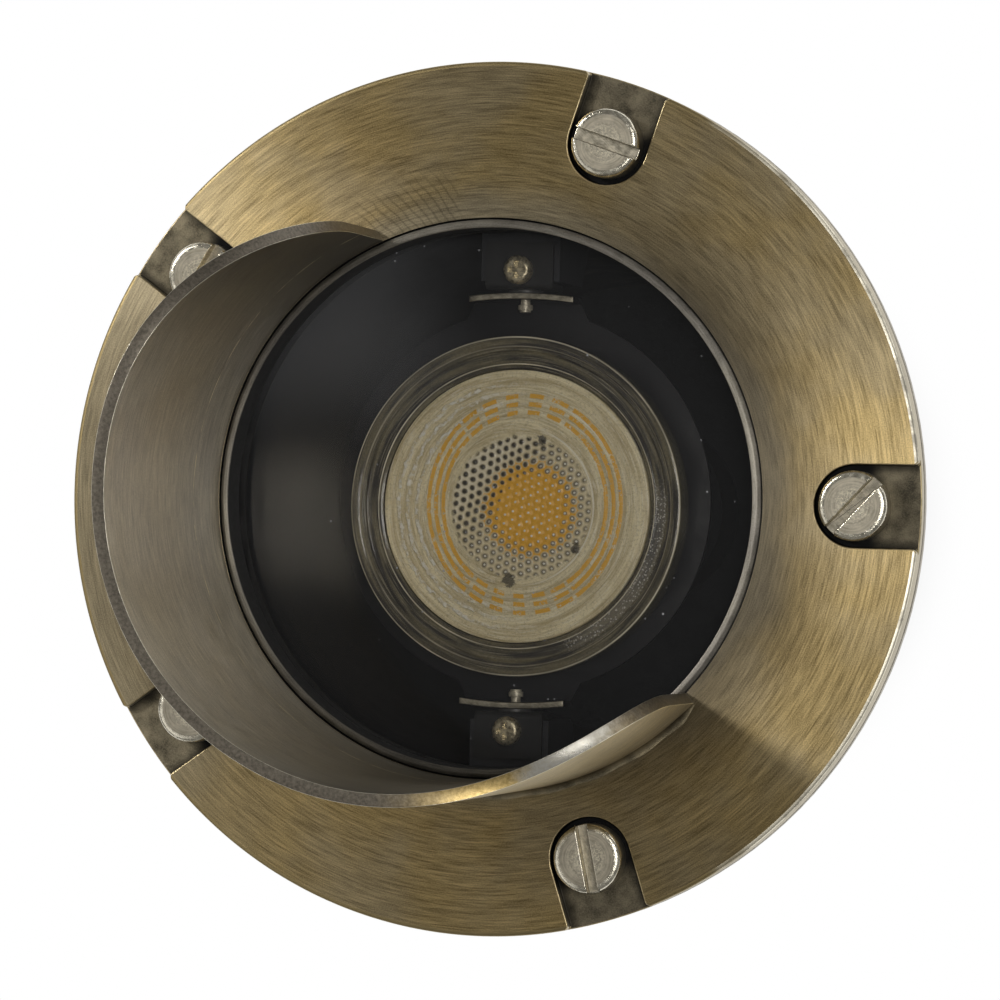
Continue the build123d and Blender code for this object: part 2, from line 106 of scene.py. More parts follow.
def new_object(name, verts, faces, smooth_angle=32.0):
    """Mesh object from points in millimetres."""
    mesh = bpy.data.meshes.new(name)
    mesh.from_pydata([Vector(v) * 0.001 for v in verts], [], faces)
    mesh.validate()
    tidy = bmesh.new()
    tidy.from_mesh(mesh)
    bmesh.ops.remove_doubles(tidy, verts=tidy.verts, dist=1e-7)
    bmesh.ops.recalc_face_normals(tidy, faces=tidy.faces)
    tidy.to_mesh(mesh)
    tidy.free()
    obj = bpy.data.objects.new(name, mesh)
    bpy.context.scene.collection.objects.link(obj)
    shade(obj, smooth_angle)
    return obj


def shade(obj, angle):
    mesh = obj.data
    mesh.shade_smooth()
    mesh.set_sharp_from_angle(angle=radians(angle))


def flatten(obj):
    """Level faces are shaded flat, so that a bevel beside them can't tilt their light."""
    for face in obj.data.polygons:
        if face.normal.z > 0.9999:
            face.use_smooth = False


def eased(corners, steps=4):
    """Closed (radius, height) outline from corners of (radius, height, rounding)."""
    out = []
    for i, (radius, height, rounding) in enumerate(corners):
        if rounding <= 0:
            out.append((radius, height))
            continue
        corner = Vector((radius, height))
        before = Vector(corners[i - 1][:2]) - corner
        after = Vector(corners[(i + 1) % len(corners)][:2]) - corner
        size = min(rounding, 0.45 * before.length, 0.45 * after.length)
        start = corner + before.normalized() * size
        end = corner + after.normalized() * size
        for k in range(steps + 1):
            t = k / steps
            point = start * (1 - t) ** 2 + corner * 2 * t * (1 - t) + end * t ** 2
            out.append((point.x, point.y))
    return out


def lathe(name, outline, segments, centre=(0.0, 0.0), smooth_angle=32.0):
    """Turned piece from a closed (radius, height) outline."""
    verts, faces = [], []
    rows = len(outline)
    for k in range(segments):
        a = 2 * pi * k / segments
        for radius, height in outline:
            verts.append((centre[0] + radius * cos(a), centre[1] + radius * sin(a), height))
    for k in range(segments):
        n = (k + 1) % segments
        for i in range(rows):
            j = (i + 1) % rows
            corners = [k * rows + i, n * rows + i, n * rows + j, k * rows + j]
            if outline[i][0] < 1e-6 and outline[j][0] < 1e-6:
                continue
            if outline[i][0] < 1e-6:
                corners = [k * rows + i, n * rows + j, k * rows + j]
            elif outline[j][0] < 1e-6:
                corners = [k * rows + i, n * rows + i, k * rows + j]
            faces.append(corners)
    return new_object(name, verts, faces, smooth_angle)


def prism(name, outline, bottom, top):
    """Upright prism from an outline of (x, y) points."""
    count = len(outline)
    verts = [(x, y, bottom) for x, y in outline] + [(x, y, top) for x, y in outline]
    faces = [tuple(range(count))[::-1], tuple(range(count, 2 * count))]
    faces += [(i, (i + 1) % count, count + (i + 1) % count, count + i) for i in range(count)]
    return new_object(name, verts, faces)


def turn(outline, angle, shift=(0.0, 0.0)):
    """Outline of (x, y) points turned by an angle in degrees, then shifted."""
    c, s = cos(radians(angle)), sin(radians(angle))
    return [(shift[0] + x * c - y * s, shift[1] + x * s + y * c) for x, y in outline]


def subtract(obj, tools):
    """Cuts each tool out of obj and removes the tools."""
    for tool in tools:
        mod = obj.modifiers.new("cut", "BOOLEAN")
        mod.operation = "DIFFERENCE"
        mod.solver = "EXACT"
        mod.object = tool
    bake(obj)
    for tool in tools:
        bpy.data.objects.remove(tool)


def bevel(obj, width, segments, angle, material=-1, clamp=True):
    mod = obj.modifiers.new("bevel", "BEVEL")
    mod.use_clamp_overlap = clamp
    mod.width = mm(width)
    mod.segments = segments
    mod.limit_method = "ANGLE"
    mod.angle_limit = radians(angle)
    mod.material = material
    mod.miter_outer = "MITER_ARC"
    bake(obj)


def bake(obj):
    """Applies the object's modifiers to its mesh."""
    bpy.context.view_layer.update()
    graph = bpy.context.evaluated_depsgraph_get()
    mesh = bpy.data.meshes.new_from_object(obj.evaluated_get(graph))
    obj.modifiers.clear()
    old = obj.data
    obj.data = mesh
    bpy.data.meshes.remove(old)


def join(name, objects):
    """Joins the objects into the first of them."""
    for one in bpy.context.scene.objects:
        one.select_set(one in objects)
    bpy.context.view_layer.objects.active = objects[0]
    bpy.ops.object.join()
    objects[0].name = name
    return objects[0]


def dress(obj, *materials):
    """Gives obj its materials, in the order of their slots."""
    obj.data.materials.clear()
    for one in materials:
        obj.data.materials.append(one)


# ---- material helpers


class Graph:
    """Small wrapper that writes shader nodes as expressions."""

    def __init__(self, name):
        self.material = bpy.data.materials.new(name)
        self.material.use_nodes = True
        self.tree = self.material.node_tree
        self.tree.nodes.clear()
        self.out = self.tree.nodes.new("ShaderNodeOutputMaterial")

    def node(self, kind, settings=None, **inputs):
        made = self.tree.nodes.new(kind)
        for key, value in (settings or {}).items():
            setattr(made, key, value)
        for key, value in inputs.items():
            self.put(made, key.replace("_", " "), value)
        return made

    def feed(self, kind, settings, *values):
        """Node whose first inputs take the values in order."""
        made = self.node(kind, settings)
        for place, value in enumerate(values):
            self.put(made, place, value)
        return made

    def put(self, node, key, value):
        """Sets or links the input that has a name or a place."""
        socket = node.inputs[key]
        if isinstance(value, bpy.types.NodeSocket):
            self.tree.links.new(value, socket)
        else:
            socket.default_value = value

    def math(self, operation, a, b=0.0, clamp=False):
        settings = {"operation": operation, "use_clamp": clamp}
        return self.feed("ShaderNodeMath", settings, a, b).outputs[0]

    def plus(self, first, *others):
        for other in others:
            first = self.math("ADD", first, other)
        return first

    def minus(self, a, b):
        return self.math("SUBTRACT", a, b)

    def times(self, first, *others):
        for other in others:
            first = self.math("MULTIPLY", first, other)
        return first

    def weighed(self, *pairs):
        """Sum of (value, weight) pairs."""
        return self.plus(*[self.times(value, weight) for value, weight in pairs])

    def drift(self, noise, reach):
        """Noise as a shift to either side, by half of reach at most."""
        return self.times(self.minus(noise, 0.5), reach)

    def angle(self, y, x):
        """Angle of a place about the Z axis, in radians."""
        return self.math("ARCTAN2", y, x)

    def vector(self, operation, a, b=(0.0, 0.0, 0.0)):
        made = self.feed("ShaderNodeVectorMath", {"operation": operation}, a, b)
        return made.outputs["Value" if operation in ("LENGTH", "DOT_PRODUCT") else "Vector"]

    def place(self):
        """Object coordinates in millimetres."""
        metres = self.node("ShaderNodeTexCoord").outputs["Object"]
        made = self.node("ShaderNodeVectorMath", {"operation": "SCALE"}, Vector=metres, Scale=1000.0)
        return made.outputs["Vector"]

    def split(self, vector):
        return tuple(self.feed("ShaderNodeSeparateXYZ", None, vector).outputs)

    def join(self, x, y, z):
        return self.feed("ShaderNodeCombineXYZ", None, x, y, z).outputs[0]

    def noise(self, vector, scale, detail=2.0, roughness=0.5):
        inputs = {"Vector": vector, "Scale": scale, "Detail": detail, "Roughness": roughness}
        return self.node("ShaderNodeTexNoise", **inputs).outputs["Fac"]

    def turned(self, place, width, reach, detail, roughness=0.6):
        """Noise drawn out round the axis, at a place of (across, cosine, sine)."""
        across, c, s = place
        drawn = self.join(self.times(across, width), self.times(c, reach), self.times(s, reach))
        return self.noise(drawn, 1.0, detail, roughness)

    def cells(self, vector, scale):
        """Distance to the nearest of some scattered points."""
        return self.node("ShaderNodeTexVoronoi", Vector=vector, Scale=scale).outputs["Distance"]

    def range(self, value, low, high, to_low=0.0, to_high=1.0, easing="LINEAR"):
        settings = {"interpolation_type": easing}
        ends = (low, high, to_low, to_high)
        return self.feed("ShaderNodeMapRange", settings, value, *ends).outputs[0]

    def ease(self, value, low, high, to_low=0.0, to_high=1.0):
        """Range that starts and ends gently."""
        return self.range(value, low, high, to_low, to_high, "SMOOTHSTEP")

    def ring(self, value, middle, half, soft):
        """1 where value lies within half of middle, easing off over soft."""
        away = self.math("ABSOLUTE", self.minus(value, middle))
        return self.ease(away, half, half + soft, 1.0, 0.0)

    def mix(self, factor, a, b):
        made = self.feed("ShaderNodeMix", {"data_type": "RGBA"}, factor)
        for key, value in ((6, a), (7, b)):
            self.put(made, key, value if isinstance(value, bpy.types.NodeSocket) else (*value, 1.0))
        return made.outputs[2]

    def bump(self, height, distance, strength):
        inputs = {"Strength": strength, "Distance": mm(distance), "Height": height}
        return self.node("ShaderNodeBump", **inputs).outputs[0]

    def around(self, vector):
        """Unit direction that runs round the Z axis, for brushed and turned metal."""
        across = self.vector("CROSS_PRODUCT", (0.0, 0.0, 1.0), vector)
        settings = {"vector_type": "VECTOR", "convert_from": "OBJECT", "convert_to": "WORLD"}
        world = self.feed("ShaderNodeVectorTransform", settings, across)
        return self.vector("NORMALIZE", world.outputs[0])

    def polar(self, vector):
        """Radius, cosine and sine about the Z axis, and the height."""
        x, y, z = self.split(vector)
        radius = self.math("SQRT", self.plus(self.times(x, x), self.times(y, y)))
        return radius, self.math("DIVIDE", x, radius), self.math("DIVIDE", y, radius), z

    def shader(self, **inputs):
        return self.node("ShaderNodeBsdfPrincipled", **inputs).outputs[0]

    def surface(self, colour, metallic, roughness, normal):
        inputs = {"Base_Color": colour, "Metallic": metallic, "Roughness": roughness, "Normal": normal}
        return self.done(self.shader(**inputs))

    def blend(self, factor, a, b):
        return self.feed("ShaderNodeMixShader", None, factor, a, b).outputs[0]

    def done(self, shader):
        self.tree.links.new(shader, self.out.inputs["Surface"])
        return self.material


def srgb(red, green, blue):
    """Linear colour from display values of 11 to 255."""
    return tuple(((v / 255 + 0.055) / 1.055) ** 2.4 for v in (red, green, blue))


# ---- materials


def brushed_metal(name, dark, light, grey, rough=0.36, pale=None, line=None, dim=None):
    """Turned metal: fine lines round the axis, a fine grain and a worn patina.

    pale gives a grey patina by the bore and, at the left, a grey paling that is painted light, as
    (near, far, strength); it also brings painted shade beside the bore on the +X side, and
    the chatter marks. line is a mark round the piece, as (height, width, colour). dim is
    painted shade on one side, as (axis, place where it is darkest, place where it ends,
    strength).
    """
    grain, patina = 0.008, 0.45
    g = Graph(name)
    p = g.place()
    radius, c, s, z = g.polar(p)
    turned_at = (g.plus(radius, z), c, s)
    fine = g.turned(turned_at, 5.0, 12.8, 3.0)
    middle = g.turned(turned_at, 1.9, 5.6, 2.0)
    grit = g.noise(p, 5.5, 2.0, 0.6)
    cloud = g.noise(p, 0.055, 3.0, 0.55)
    streak = g.weighed((fine, 0.45), (middle, 0.20), (grit, 0.35))
    tone = g.range(streak, 0.38, 0.62)
    colour = g.mix(tone, dark, light)
    greys = g.mix(tone, tuple(v * 0.62 for v in grey), tuple(v * 1.38 for v in grey))
    patina_and_painted_light = g.times(g.ease(cloud, 0.38, 0.66), patina)
    if pale:
        near, far, strength = pale
        inward = g.plus(radius, g.drift(cloud, 8.0))
        # painted light: towards the left the metal is paled to grey, standing in for stronger light
        # there
        painted_light_left = g.plus(g.split(p)[0], g.drift(cloud, 30.0))
        patina_and_painted_light = g.math("MAXIMUM", patina_and_painted_light, g.ease(inward, near, far, strength, 0.0))
        patina_and_painted_light = g.math("MAXIMUM", patina_and_painted_light, g.ease(painted_light_left, -58.0, -25.0, strength, 0.0))
    colour = g.mix(patina_and_painted_light, colour, greys)
    if pale:
        # painted shade: beside the bore, on the +X side, the metal is darkened
        by_bore = g.ease(inward, near, far + 8.0, 0.75, 0.0)
        shade_in = g.times(by_bore, g.ease(c, 0.1, 0.8))
        colour = g.mix(shade_in, colour, (0.07, 0.06, 0.045))
        colour = g.mix(chatter_marks(g, p, radius, g.angle(s, c)), colour, (0.05, 0.042, 0.03))
    if dim:
        axis, darkest, ends, strength = dim
        # painted shade: darker where the place lies less far along the axis
        facing = g.vector("DOT_PRODUCT", p, axis)
        painted_side_shade = g.ease(facing, darkest, ends, strength, 0.0)
        colour = g.mix(painted_side_shade, colour, (0.03, 0.028, 0.025))
    if line:
        level, width, bright = line
        broken = g.range(g.noise(p, 0.35, 3.0, 0.6), 0.42, 0.62)
        colour = g.mix(g.times(g.ring(z, level, width, width), broken), colour, bright)
    gloss = g.plus(g.range(streak, 0.35, 0.65, rough - 0.04, rough + 0.05), g.times(patina_and_painted_light, 0.10))
    return g.done(g.shader(
        Base_Color=colour,
        Metallic=1.0,
        Roughness=gloss,
        Anisotropic=0.75,
        Anisotropic_Rotation=0.25,
        Tangent=g.around(p),
        Normal=g.bump(g.plus(fine, g.times(grit, 0.8)), grain, 1.0),
    ))


def chatter_marks(g, p, radius, angle):
    """Short slanted marks that a tool left beside the bore, at one place round it."""
    slant = g.plus(angle, g.times(radius, -0.012))
    teeth = g.math("SINE", g.weighed((slant, 215.0), (g.noise(p, 0.25, 2.0, 0.6), 7.0)))
    marked = g.times(g.ring(angle, 1.87, 0.15, 0.05), g.range(radius, 45.0, 49.5, 1.0, 0.0))
    return g.times(marked, g.range(teeth, 0.45, 0.95, 0.0, 0.30))


def cowl_rim(name):
    """Sawn edge of the cowl: dull and dark, with painted light low on its front, bright gold and a
    near-white painted highlight.
    """
    g = Graph(name)
    p = g.place()
    x, y, _ = g.split(p)
    ragged = g.drift(g.noise(p, 0.5, 4.0, 0.7), 5.0)
    along, across = g.plus(x, ragged), g.plus(y, ragged)
    # painted light: the zone held by rubbed, low on the front, is coloured bright gold, and near-white
    # with lower roughness in the painted highlight
    rubbed = g.times(
        g.ease(across, -37.5, -27.0, 1.0, 0.0),
        g.ease(along, -2.0, 14.0),
    )
    painted_highlight = g.times(
        g.ease(along, 16.0, 20.0),
        g.ease(along, 25.0, 29.5, 1.0, 0.0),
    )
    scuff = g.noise(p, 2.2, 4.0, 0.7)
    tone = g.range(scuff, 0.35, 0.65)
    dull = g.mix(tone, (0.12, 0.106, 0.086), (0.23, 0.204, 0.165))
    gold = g.mix(tone, (0.36, 0.26, 0.10), (0.62, 0.465, 0.205))
    white = g.mix(tone, (0.86, 0.82, 0.70), (0.96, 0.94, 0.86))
    colour = g.mix(rubbed, dull, g.mix(painted_highlight, gold, white))
    gloss = g.minus(g.range(rubbed, 0.0, 1.0, 0.46, 0.36), g.times(painted_highlight, rubbed, 0.14))
    normal = g.bump(scuff, 0.02, 0.7)
    return g.surface(colour, 1.0, gloss, normal)


def at_screw(g, p):
    """Place about the nearest trim screw: outwards, sideways and the distance."""
    x, y, _ = g.split(p)
    radius = g.vector("LENGTH", g.join(x, y, 0.0))
    step = 2 * pi / len(SCREW_ANGLES)
    share = g.plus(g.math("DIVIDE", g.angle(y, x), step), 10.5)
    local = g.times(g.minus(g.math("FRACT", share), 0.5), step)
    u = g.minus(g.times(radius, g.math("COSINE", local)), SCREW_CIRCLE)
    v = g.times(radius, g.math("SINE", local))
    return u, v, g.vector("LENGTH", g.join(u, v, 0.0))


def stained(g, p, grain_scale, stain_scale):
    """A fine grain, and the tone that it gives together with wide stains."""
    fine = g.noise(p, grain_scale, 4.0, 0.65)
    stain = g.noise(p, stain_scale, 4.0, 0.6)
    return fine, g.range(g.weighed((fine, 0.35), (stain, 0.65)), 0.38, 0.62)


def notch_metal(name, dark, light, wall=False):
    """Unpolished recess, stained, with painted shade: darker towards +X, darker along its side walls
    and black in the gap on the inner side of each screw; a wall turns near-black towards its inner end.
    """
    g = Graph(name)
    p = g.place()
    u, v, away = at_screw(g, p)
    fine, tone = stained(g, p, 4.5, 0.30)
    # painted shade: darker towards +X
    shadow = g.range(g.split(p)[0], -35.0, 0.0, 0.0, 0.36)
    colour = g.mix(shadow, g.mix(tone, dark, light), (0.01, 0.009, 0.007))
    if wall:
        # painted shade: the wall goes near-black towards its inner end
        colour = g.mix(g.ease(u, 1.0, 4.5, 1.0, 0.0), colour, (0.006, 0.006, 0.006))
    else:
        # painted shade: darker along the side walls
        painted_wall_shade = g.ease(g.math("ABSOLUTE", v), 4.3, 5.9, 0.0, 0.75)
        colour = g.mix(painted_wall_shade, colour, (0.012, 0.011, 0.009))
        # painted shade: black in the gap on the inner side of the screw
        gap = g.times(
            g.ease(away, 5.9, 7.1, 1.0, 0.0),
            g.ease(u, 1.6, 4.6, 1.0, 0.0),
        )
        colour = g.mix(gap, colour, (0.004, 0.004, 0.004))
    gloss = g.range(fine, 0.3, 0.7, 0.38, 0.56)
    normal = g.bump(fine, 0.05, 0.9)
    return g.surface(colour, 0.8, gloss, normal)


def worn_edge(name, colour, rough=0.42, plain=None):
    """Bare metal where an edge has been rubbed bright, with dull stretches.

    plain is the colour of the side away from +X; the bright colour on the +X side is a painted
    highlight.
    """
    g = Graph(name)
    p = g.place()
    long_wear = g.noise(p, 0.16, 2.0, 0.5)
    amount = g.range(g.weighed((g.noise(p, 0.9, 4.0, 0.7), 0.45), (long_wear, 0.55)), 0.38, 0.54)
    tone = g.mix(amount, tuple(v * 0.5 for v in colour), colour)
    if plain:
        # painted highlight: with plain given, only the +X side keeps the bright colour
        _, c, _, _ = g.polar(p)
        turned_to = g.plus(c, g.drift(long_wear, 0.4))
        tone = g.mix(g.ease(turned_to, 0.45, 0.72), plain, tone)
    gloss = g.range(amount, 0.0, 1.0, rough + 0.12, rough)
    normal = g.bump(g.noise(p, 5.0, 2.0, 0.6), 0.02, 0.8)
    return g.surface(tone, 1.0, gloss, normal)


def cast_metal(name, dark, light, rough=0.55):
    """Unpolished metal with a fine cast grain and stains."""
    g = Graph(name)
    p = g.place()
    fine, tone = stained(g, p, 6.4, 0.256)
    gloss = g.range(fine, 0.3, 0.7, rough - 0.08, rough + 0.1)
    colour, normal = g.mix(tone, dark, light), g.bump(fine, 0.06, 0.9)
    return g.surface(colour, 0.85, gloss, normal)


def scuffed_steel(name, dark, light, rough=0.3, metallic=1.0):
    """Plated steel with crossing scratches, scuffs and dull patches."""
    g = Graph(name)
    p = g.place()
    x, y, z = g.split(p)
    slanted = g.join(g.times(g.plus(x, y), 5.0), g.times(g.minus(x, y), 0.5), z)
    one = g.noise(slanted, 1.0, 3.0, 0.7)
    two = g.noise(g.join(g.times(x, 0.6), g.times(y, 6.0), z), 1.0, 3.0, 0.7)
    patches = g.noise(p, 1.1, 4.0, 0.65)
    tone = g.range(g.weighed((one, 0.3), (two, 0.2), (patches, 0.5)), 0.40, 0.60)
    gloss = g.range(patches, 0.35, 0.65, rough - 0.06, rough + 0.14)
    colour, normal = g.mix(tone, dark, light), g.bump(g.plus(one, two), 0.03, 0.8)
    return g.surface(colour, metallic, gloss, normal)


def screw_face(name, dark, light, bright):
    """Turned face of a screw's head, with a patchy painted highlight in the middle."""
    g = Graph(name)
    p = g.place()
    u, v, away = at_screw(g, p)
    rings = g.turned((away, u, v), 3.6, 0.25, 2.0)
    patches = g.noise(p, 0.7, 3.0, 0.6)
    scuff = g.noise(p, 3.4, 4.0, 0.7)
    tone = g.range(g.weighed((rings, 0.6), (patches, 0.4)), 0.38, 0.62)
    # painted highlight: patchy bright metal in the middle of the face
    middle = g.ease(away, 1.4, 3.6, 0.85, 0.0)
    painted_middle_highlight = g.times(g.range(scuff, 0.47, 0.60), middle)
    colour = g.mix(painted_middle_highlight, g.mix(tone, dark, light), bright)
    gloss = g.range(painted_middle_highlight, 0.0, 1.0, 0.42, 0.30)
    normal = g.bump(g.plus(g.times(rings, 0.5), scuff), 0.03, 0.8)
    return g.surface(colour, 1.0, gloss, normal)


def moulded(name, dark, light, rough=0.5, grain=0.03, scale=3.0, specular=0.5):
    """Moulded plastic, rubber, paint or ceramic with a fine texture."""
    g = Graph(name)
    p = g.place()
    fine = g.noise(p, scale, 3.0, 0.6)
    dust = g.noise(p, scale * 0.15, 4.0, 0.65)
    tone = g.range(g.weighed((fine, 0.4), (dust, 0.6)), 0.36, 0.64)
    return g.done(g.shader(
        Base_Color=g.mix(tone, dark, light),
        Roughness=g.range(dust, 0.3, 0.7, rough - 0.07, rough + 0.09),
        Specular_IOR_Level=specular,
        Normal=g.bump(fine, grain, 0.8),
    ))


def lens_glass(name):
    """Clear flat glass: a faint reflection, dust specks, an even faint grey haze that is painted light
    on the dark interior, and a painted reflection of the cowl's wall at the upper left.
    """
    g = Graph(name)
    p = g.place()
    x, y, _ = g.split(p)
    smear = g.noise(p, 0.07, 4.0, 0.6)
    specks = g.times(
        g.range(g.cells(p, 0.34), 0.035, 0.075, 1.0, 0.0),
        g.range(g.noise(p, 0.4, 1.0), 0.52, 0.60),
    )
    # painted reflection: a grey layer at the upper left stands in for the cowl's wall seen in the glass
    painted_reflection = g.times(
        g.ease(g.plus(x, g.times(smear, 8.0)), -22.0, 2.0, 1.0, 0.0),
        g.ease(y, 4.0, 24.0),
    )
    # the specks are dust; the even 0.009 grey layer is painted light that lifts the dark interior
    dust = g.math("ADD", g.times(specks, 0.75), g.plus(g.times(painted_reflection, 0.09), 0.009), True)
    clear = g.node("ShaderNodeBsdfTransparent", Color=(0.96, 0.955, 0.945, 1.0)).outputs[0]
    blur = g.range(smear, 0.3, 0.7, 0.03, 0.09)
    gloss = g.node("ShaderNodeBsdfGlossy", Color=(0.90, 0.91, 0.93, 1.0), Roughness=blur).outputs[0]
    pane = g.blend(g.node("ShaderNodeFresnel", IOR=1.30).outputs[0], clear, gloss)
    grit = g.node("ShaderNodeBsdfDiffuse", Color=(0.51, 0.52, 0.55, 1.0)).outputs[0]
    return g.done(g.blend(dust, pane, grit))


def lamp_glass(name):
    """Thick pressed glass, silvered behind: dark, glossy, with turned lines, painted highlights on its
    edges and a painted sparkle at the lower right.
    """
    g = Graph(name)
    p = g.vector("SUBTRACT", g.place(), (0.0, LAMP_Y, 0.0))
    radius, c, s, _ = g.polar(p)
    lines = g.turned((radius, c, s), 5.0, 3.0, 3.0)
    brown = g.turned((radius, c, s), 1.2, 2.0, 2.0, 0.5)
    grit = g.noise(p, 3.2, 2.0, 0.6)
    colour = g.mix(g.range(brown, 0.40, 0.64), (0.040, 0.036, 0.030), (0.20, 0.175, 0.105))
    colour = g.mix(g.range(lines, 0.54, 0.70), colour, (0.30, 0.27, 0.19))
    colour = g.mix(g.range(grit, 0.40, 0.66, 0.0, 0.35), colour, (0.02, 0.02, 0.02))

    # painted highlights on the edges of the rim, broken here and there
    round_it = g.join(g.times(c, 1.6), g.times(s, 1.6), 0.0)
    broken = g.range(g.noise(round_it, 1.0, 3.0, 0.6), 0.34, 0.60, 0.35, 1.0)
    rim_highlights = g.math("MAXIMUM", g.ring(radius, 25.12, 0.06, 0.08), g.ring(radius, 21.15, 0.04, 0.08))
    rim_highlights = g.math("MAXIMUM", rim_highlights, g.times(g.ring(radius, 23.75, 0.04, 0.10), 0.45))
    colour = g.mix(g.times(rim_highlights, broken), colour, (0.95, 0.88, 0.70))

    # painted sparkle: beads of reflected light in the groove at the lower right
    sector = g.ring(g.angle(s, c), -0.52, 0.50, 0.26)
    beads = g.range(g.cells(p, 2.6), 0.10, 0.42, 1.0, 0.10)
    sparkle = g.times(sector, g.ring(radius, 22.0, 0.75, 0.5), beads)
    colour = g.mix(sparkle, colour, (0.86, 0.83, 0.78))
    normal = g.bump(g.weighed((lines, 0.5), (sparkle, 1.8)), 0.08, 0.7)
    return g.done(g.shader(Base_Color=colour, Roughness=0.12, IOR=1.45, Normal=normal))


def optic_moulding(g, p, turned_at, grit):
    """Clear moulding over the silvered bowl: its colour, its bands and its ripples, which carry painted
    highlights on the left.
    """
    radius, c, _ = turned_at
    bands = g.turned(turned_at, 1.3, 1.2, 3.0)
    fine = g.turned(turned_at, 5.0, 5.0, 2.0)
    base = g.mix(g.range(bands, 0.36, 0.64), srgb(206, 190, 148), srgb(255, 243, 204))
    base = g.mix(g.range(fine, 0.54, 0.66, 0.0, 0.6), base, srgb(255, 250, 230))
    base = g.mix(g.range(fine, 0.34, 0.46, 0.3, 0.0), base, srgb(150, 138, 104))
    base = g.mix(g.range(grit, 0.50, 0.68, 0.0, 0.45), base, srgb(160, 146, 110))

    # bright broken ripples on the left are painted highlights; fine circles lie on the right
    left = g.ease(c, 0.30, -0.55, 0.0, 1.0)
    wave = g.math("SINE", g.weighed((radius, 4.4), (g.noise(p, 0.45, 3.0, 0.6), 7.0)))
    patchy = g.range(g.noise(p, 1.1, 3.0, 0.65), 0.40, 0.58)
    ripples = g.times(g.range(wave, 0.20, 0.70), g.ring(radius, 16.6, 2.1, 0.9), left, patchy)
    base = g.mix(ripples, base, srgb(255, 252, 240))
    right = g.ease(c, 0.15, 0.6)
    circles = g.math("MAXIMUM", g.ring(radius, 16.2, 0.05, 0.12), g.ring(radius, 11.9, 0.05, 0.12))
    base = g.mix(g.times(circles, right, 0.8), base, srgb(255, 250, 232))
    return base, bands, ripples


def amber_dashes(g, p, c, s, grit, ragged):
    """Broken ring deep under the moulding: rows of dashes, run together at the sides."""
    deep = g.vector("MULTIPLY", g.vector("SUBTRACT", p, (1.35, 0.3, 0.0)), (1.075, 0.98, 0.0))
    radius = g.vector("LENGTH", deep)
    dash = g.math("SINE", g.times(g.angle(s, c), 28.0))
    sides = g.times(g.math("ABSOLUTE", c), 1.5)
    gap = g.ease(dash, g.minus(-0.15, sides), g.minus(0.15, sides))
    rows = g.range(g.math("SINE", g.weighed((radius, 5.2), (ragged, 2.0))), -0.35, 0.15)
    broken = g.range(g.weighed((ragged, 0.6), (grit, 0.4)), 0.38, 0.46)
    return g.times(g.ring(radius, 14.6, 1.55, 0.3), gap, rows, broken)


def honeycomb(g, x, y, warp):
    """Distance to the nearest cell's middle: two shifted lattices make a hexagonal one."""
    pitch, slope = 1.30, 0.42
    across = g.plus(g.weighed((x, cos(slope)), (y, sin(slope))), warp)
    along = g.minus(g.times(y, cos(slope)), g.times(x, sin(slope)))
    nearest = None
    for shift in (0.0, 0.5):
        column = g.plus(g.math("DIVIDE", across, pitch), 50.0 + shift)
        row = g.plus(g.math("DIVIDE", along, pitch * sqrt(3)), 50.0 + shift)
        u = g.minus(g.math("FRACT", column), 0.5)
        v = g.times(g.minus(g.math("FRACT", row), 0.5), sqrt(3))
        away = g.math("SQRT", g.plus(g.times(u, u), g.times(v, v)))
        nearest = away if nearest is None else g.math("MINIMUM", nearest, away)
    return nearest


def optic_eye(g, p, flat, ragged):
    """Honeycomb eye over the emitters: its colour, where it is and its domes' height."""
    x, y, _ = g.split(g.vector("SUBTRACT", p, (0.9, -0.2, 0.0)))
    warp = g.drift(g.noise(p, 0.16, 2.0, 0.5), 1.6)
    nearest = honeycomb(g, x, y, warp)
    reach = g.plus(g.vector("LENGTH", g.join(x, y, 0.0)), g.drift(ragged, 2.2))
    mask = g.ease(reach, 10.2, 10.9, 1.0, 0.0)
    colour = g.mix(g.range(nearest, 0.14, 0.46), srgb(96, 89, 72), srgb(236, 222, 184))

    # painted shade: the cells' middles are dark at the upper left
    side = g.weighed((x, 0.75), (y, -0.65))
    upper_left_painted_shade = g.ease(side, -6.5, 1.0, 1.0, 0.0)
    dots = g.times(g.range(nearest, 0.22, 0.34, 1.0, 0.0), g.range(upper_left_painted_shade, 0.0, 1.0, 0.12, 1.0))
    colour = g.mix(g.times(dots, 0.74), colour, srgb(34, 33, 32))

    # the emitters show amber through the cells, each with a painted glint
    glow = g.plus(
        g.vector("LENGTH", g.vector("SUBTRACT", flat, (2.3, -0.4, 0.0))),
        g.times(g.minus(0.30, nearest), 7.0),
    )
    amber_mask = g.times(g.ease(glow, 5.2, 6.8, 1.0, 0.0), mask)
    colour = g.mix(amber_mask, colour, (0.92, 0.49, 0.045))
    glint = g.times(g.range(nearest, 0.09, 0.17, 1.0, 0.0), g.range(upper_left_painted_shade, 0.15, 0.7, 1.0, 0.0))
    colour = g.mix(g.times(glint, 0.9), colour, srgb(255, 252, 240))
    # painted sheen on the cells' borders at the upper left
    sheen = g.times(
        g.range(nearest, 0.30, 0.42),
        g.range(g.plus(side, g.times(ragged, 4.0)), -6.0, -3.0, 1.0, 0.0),
    )
    colour = g.mix(g.times(sheen, 0.5), colour, srgb(250, 245, 228))
    domes = g.times(g.range(nearest, 0.0, 0.58, 1.0, 0.0), mask)
    return colour, mask, domes


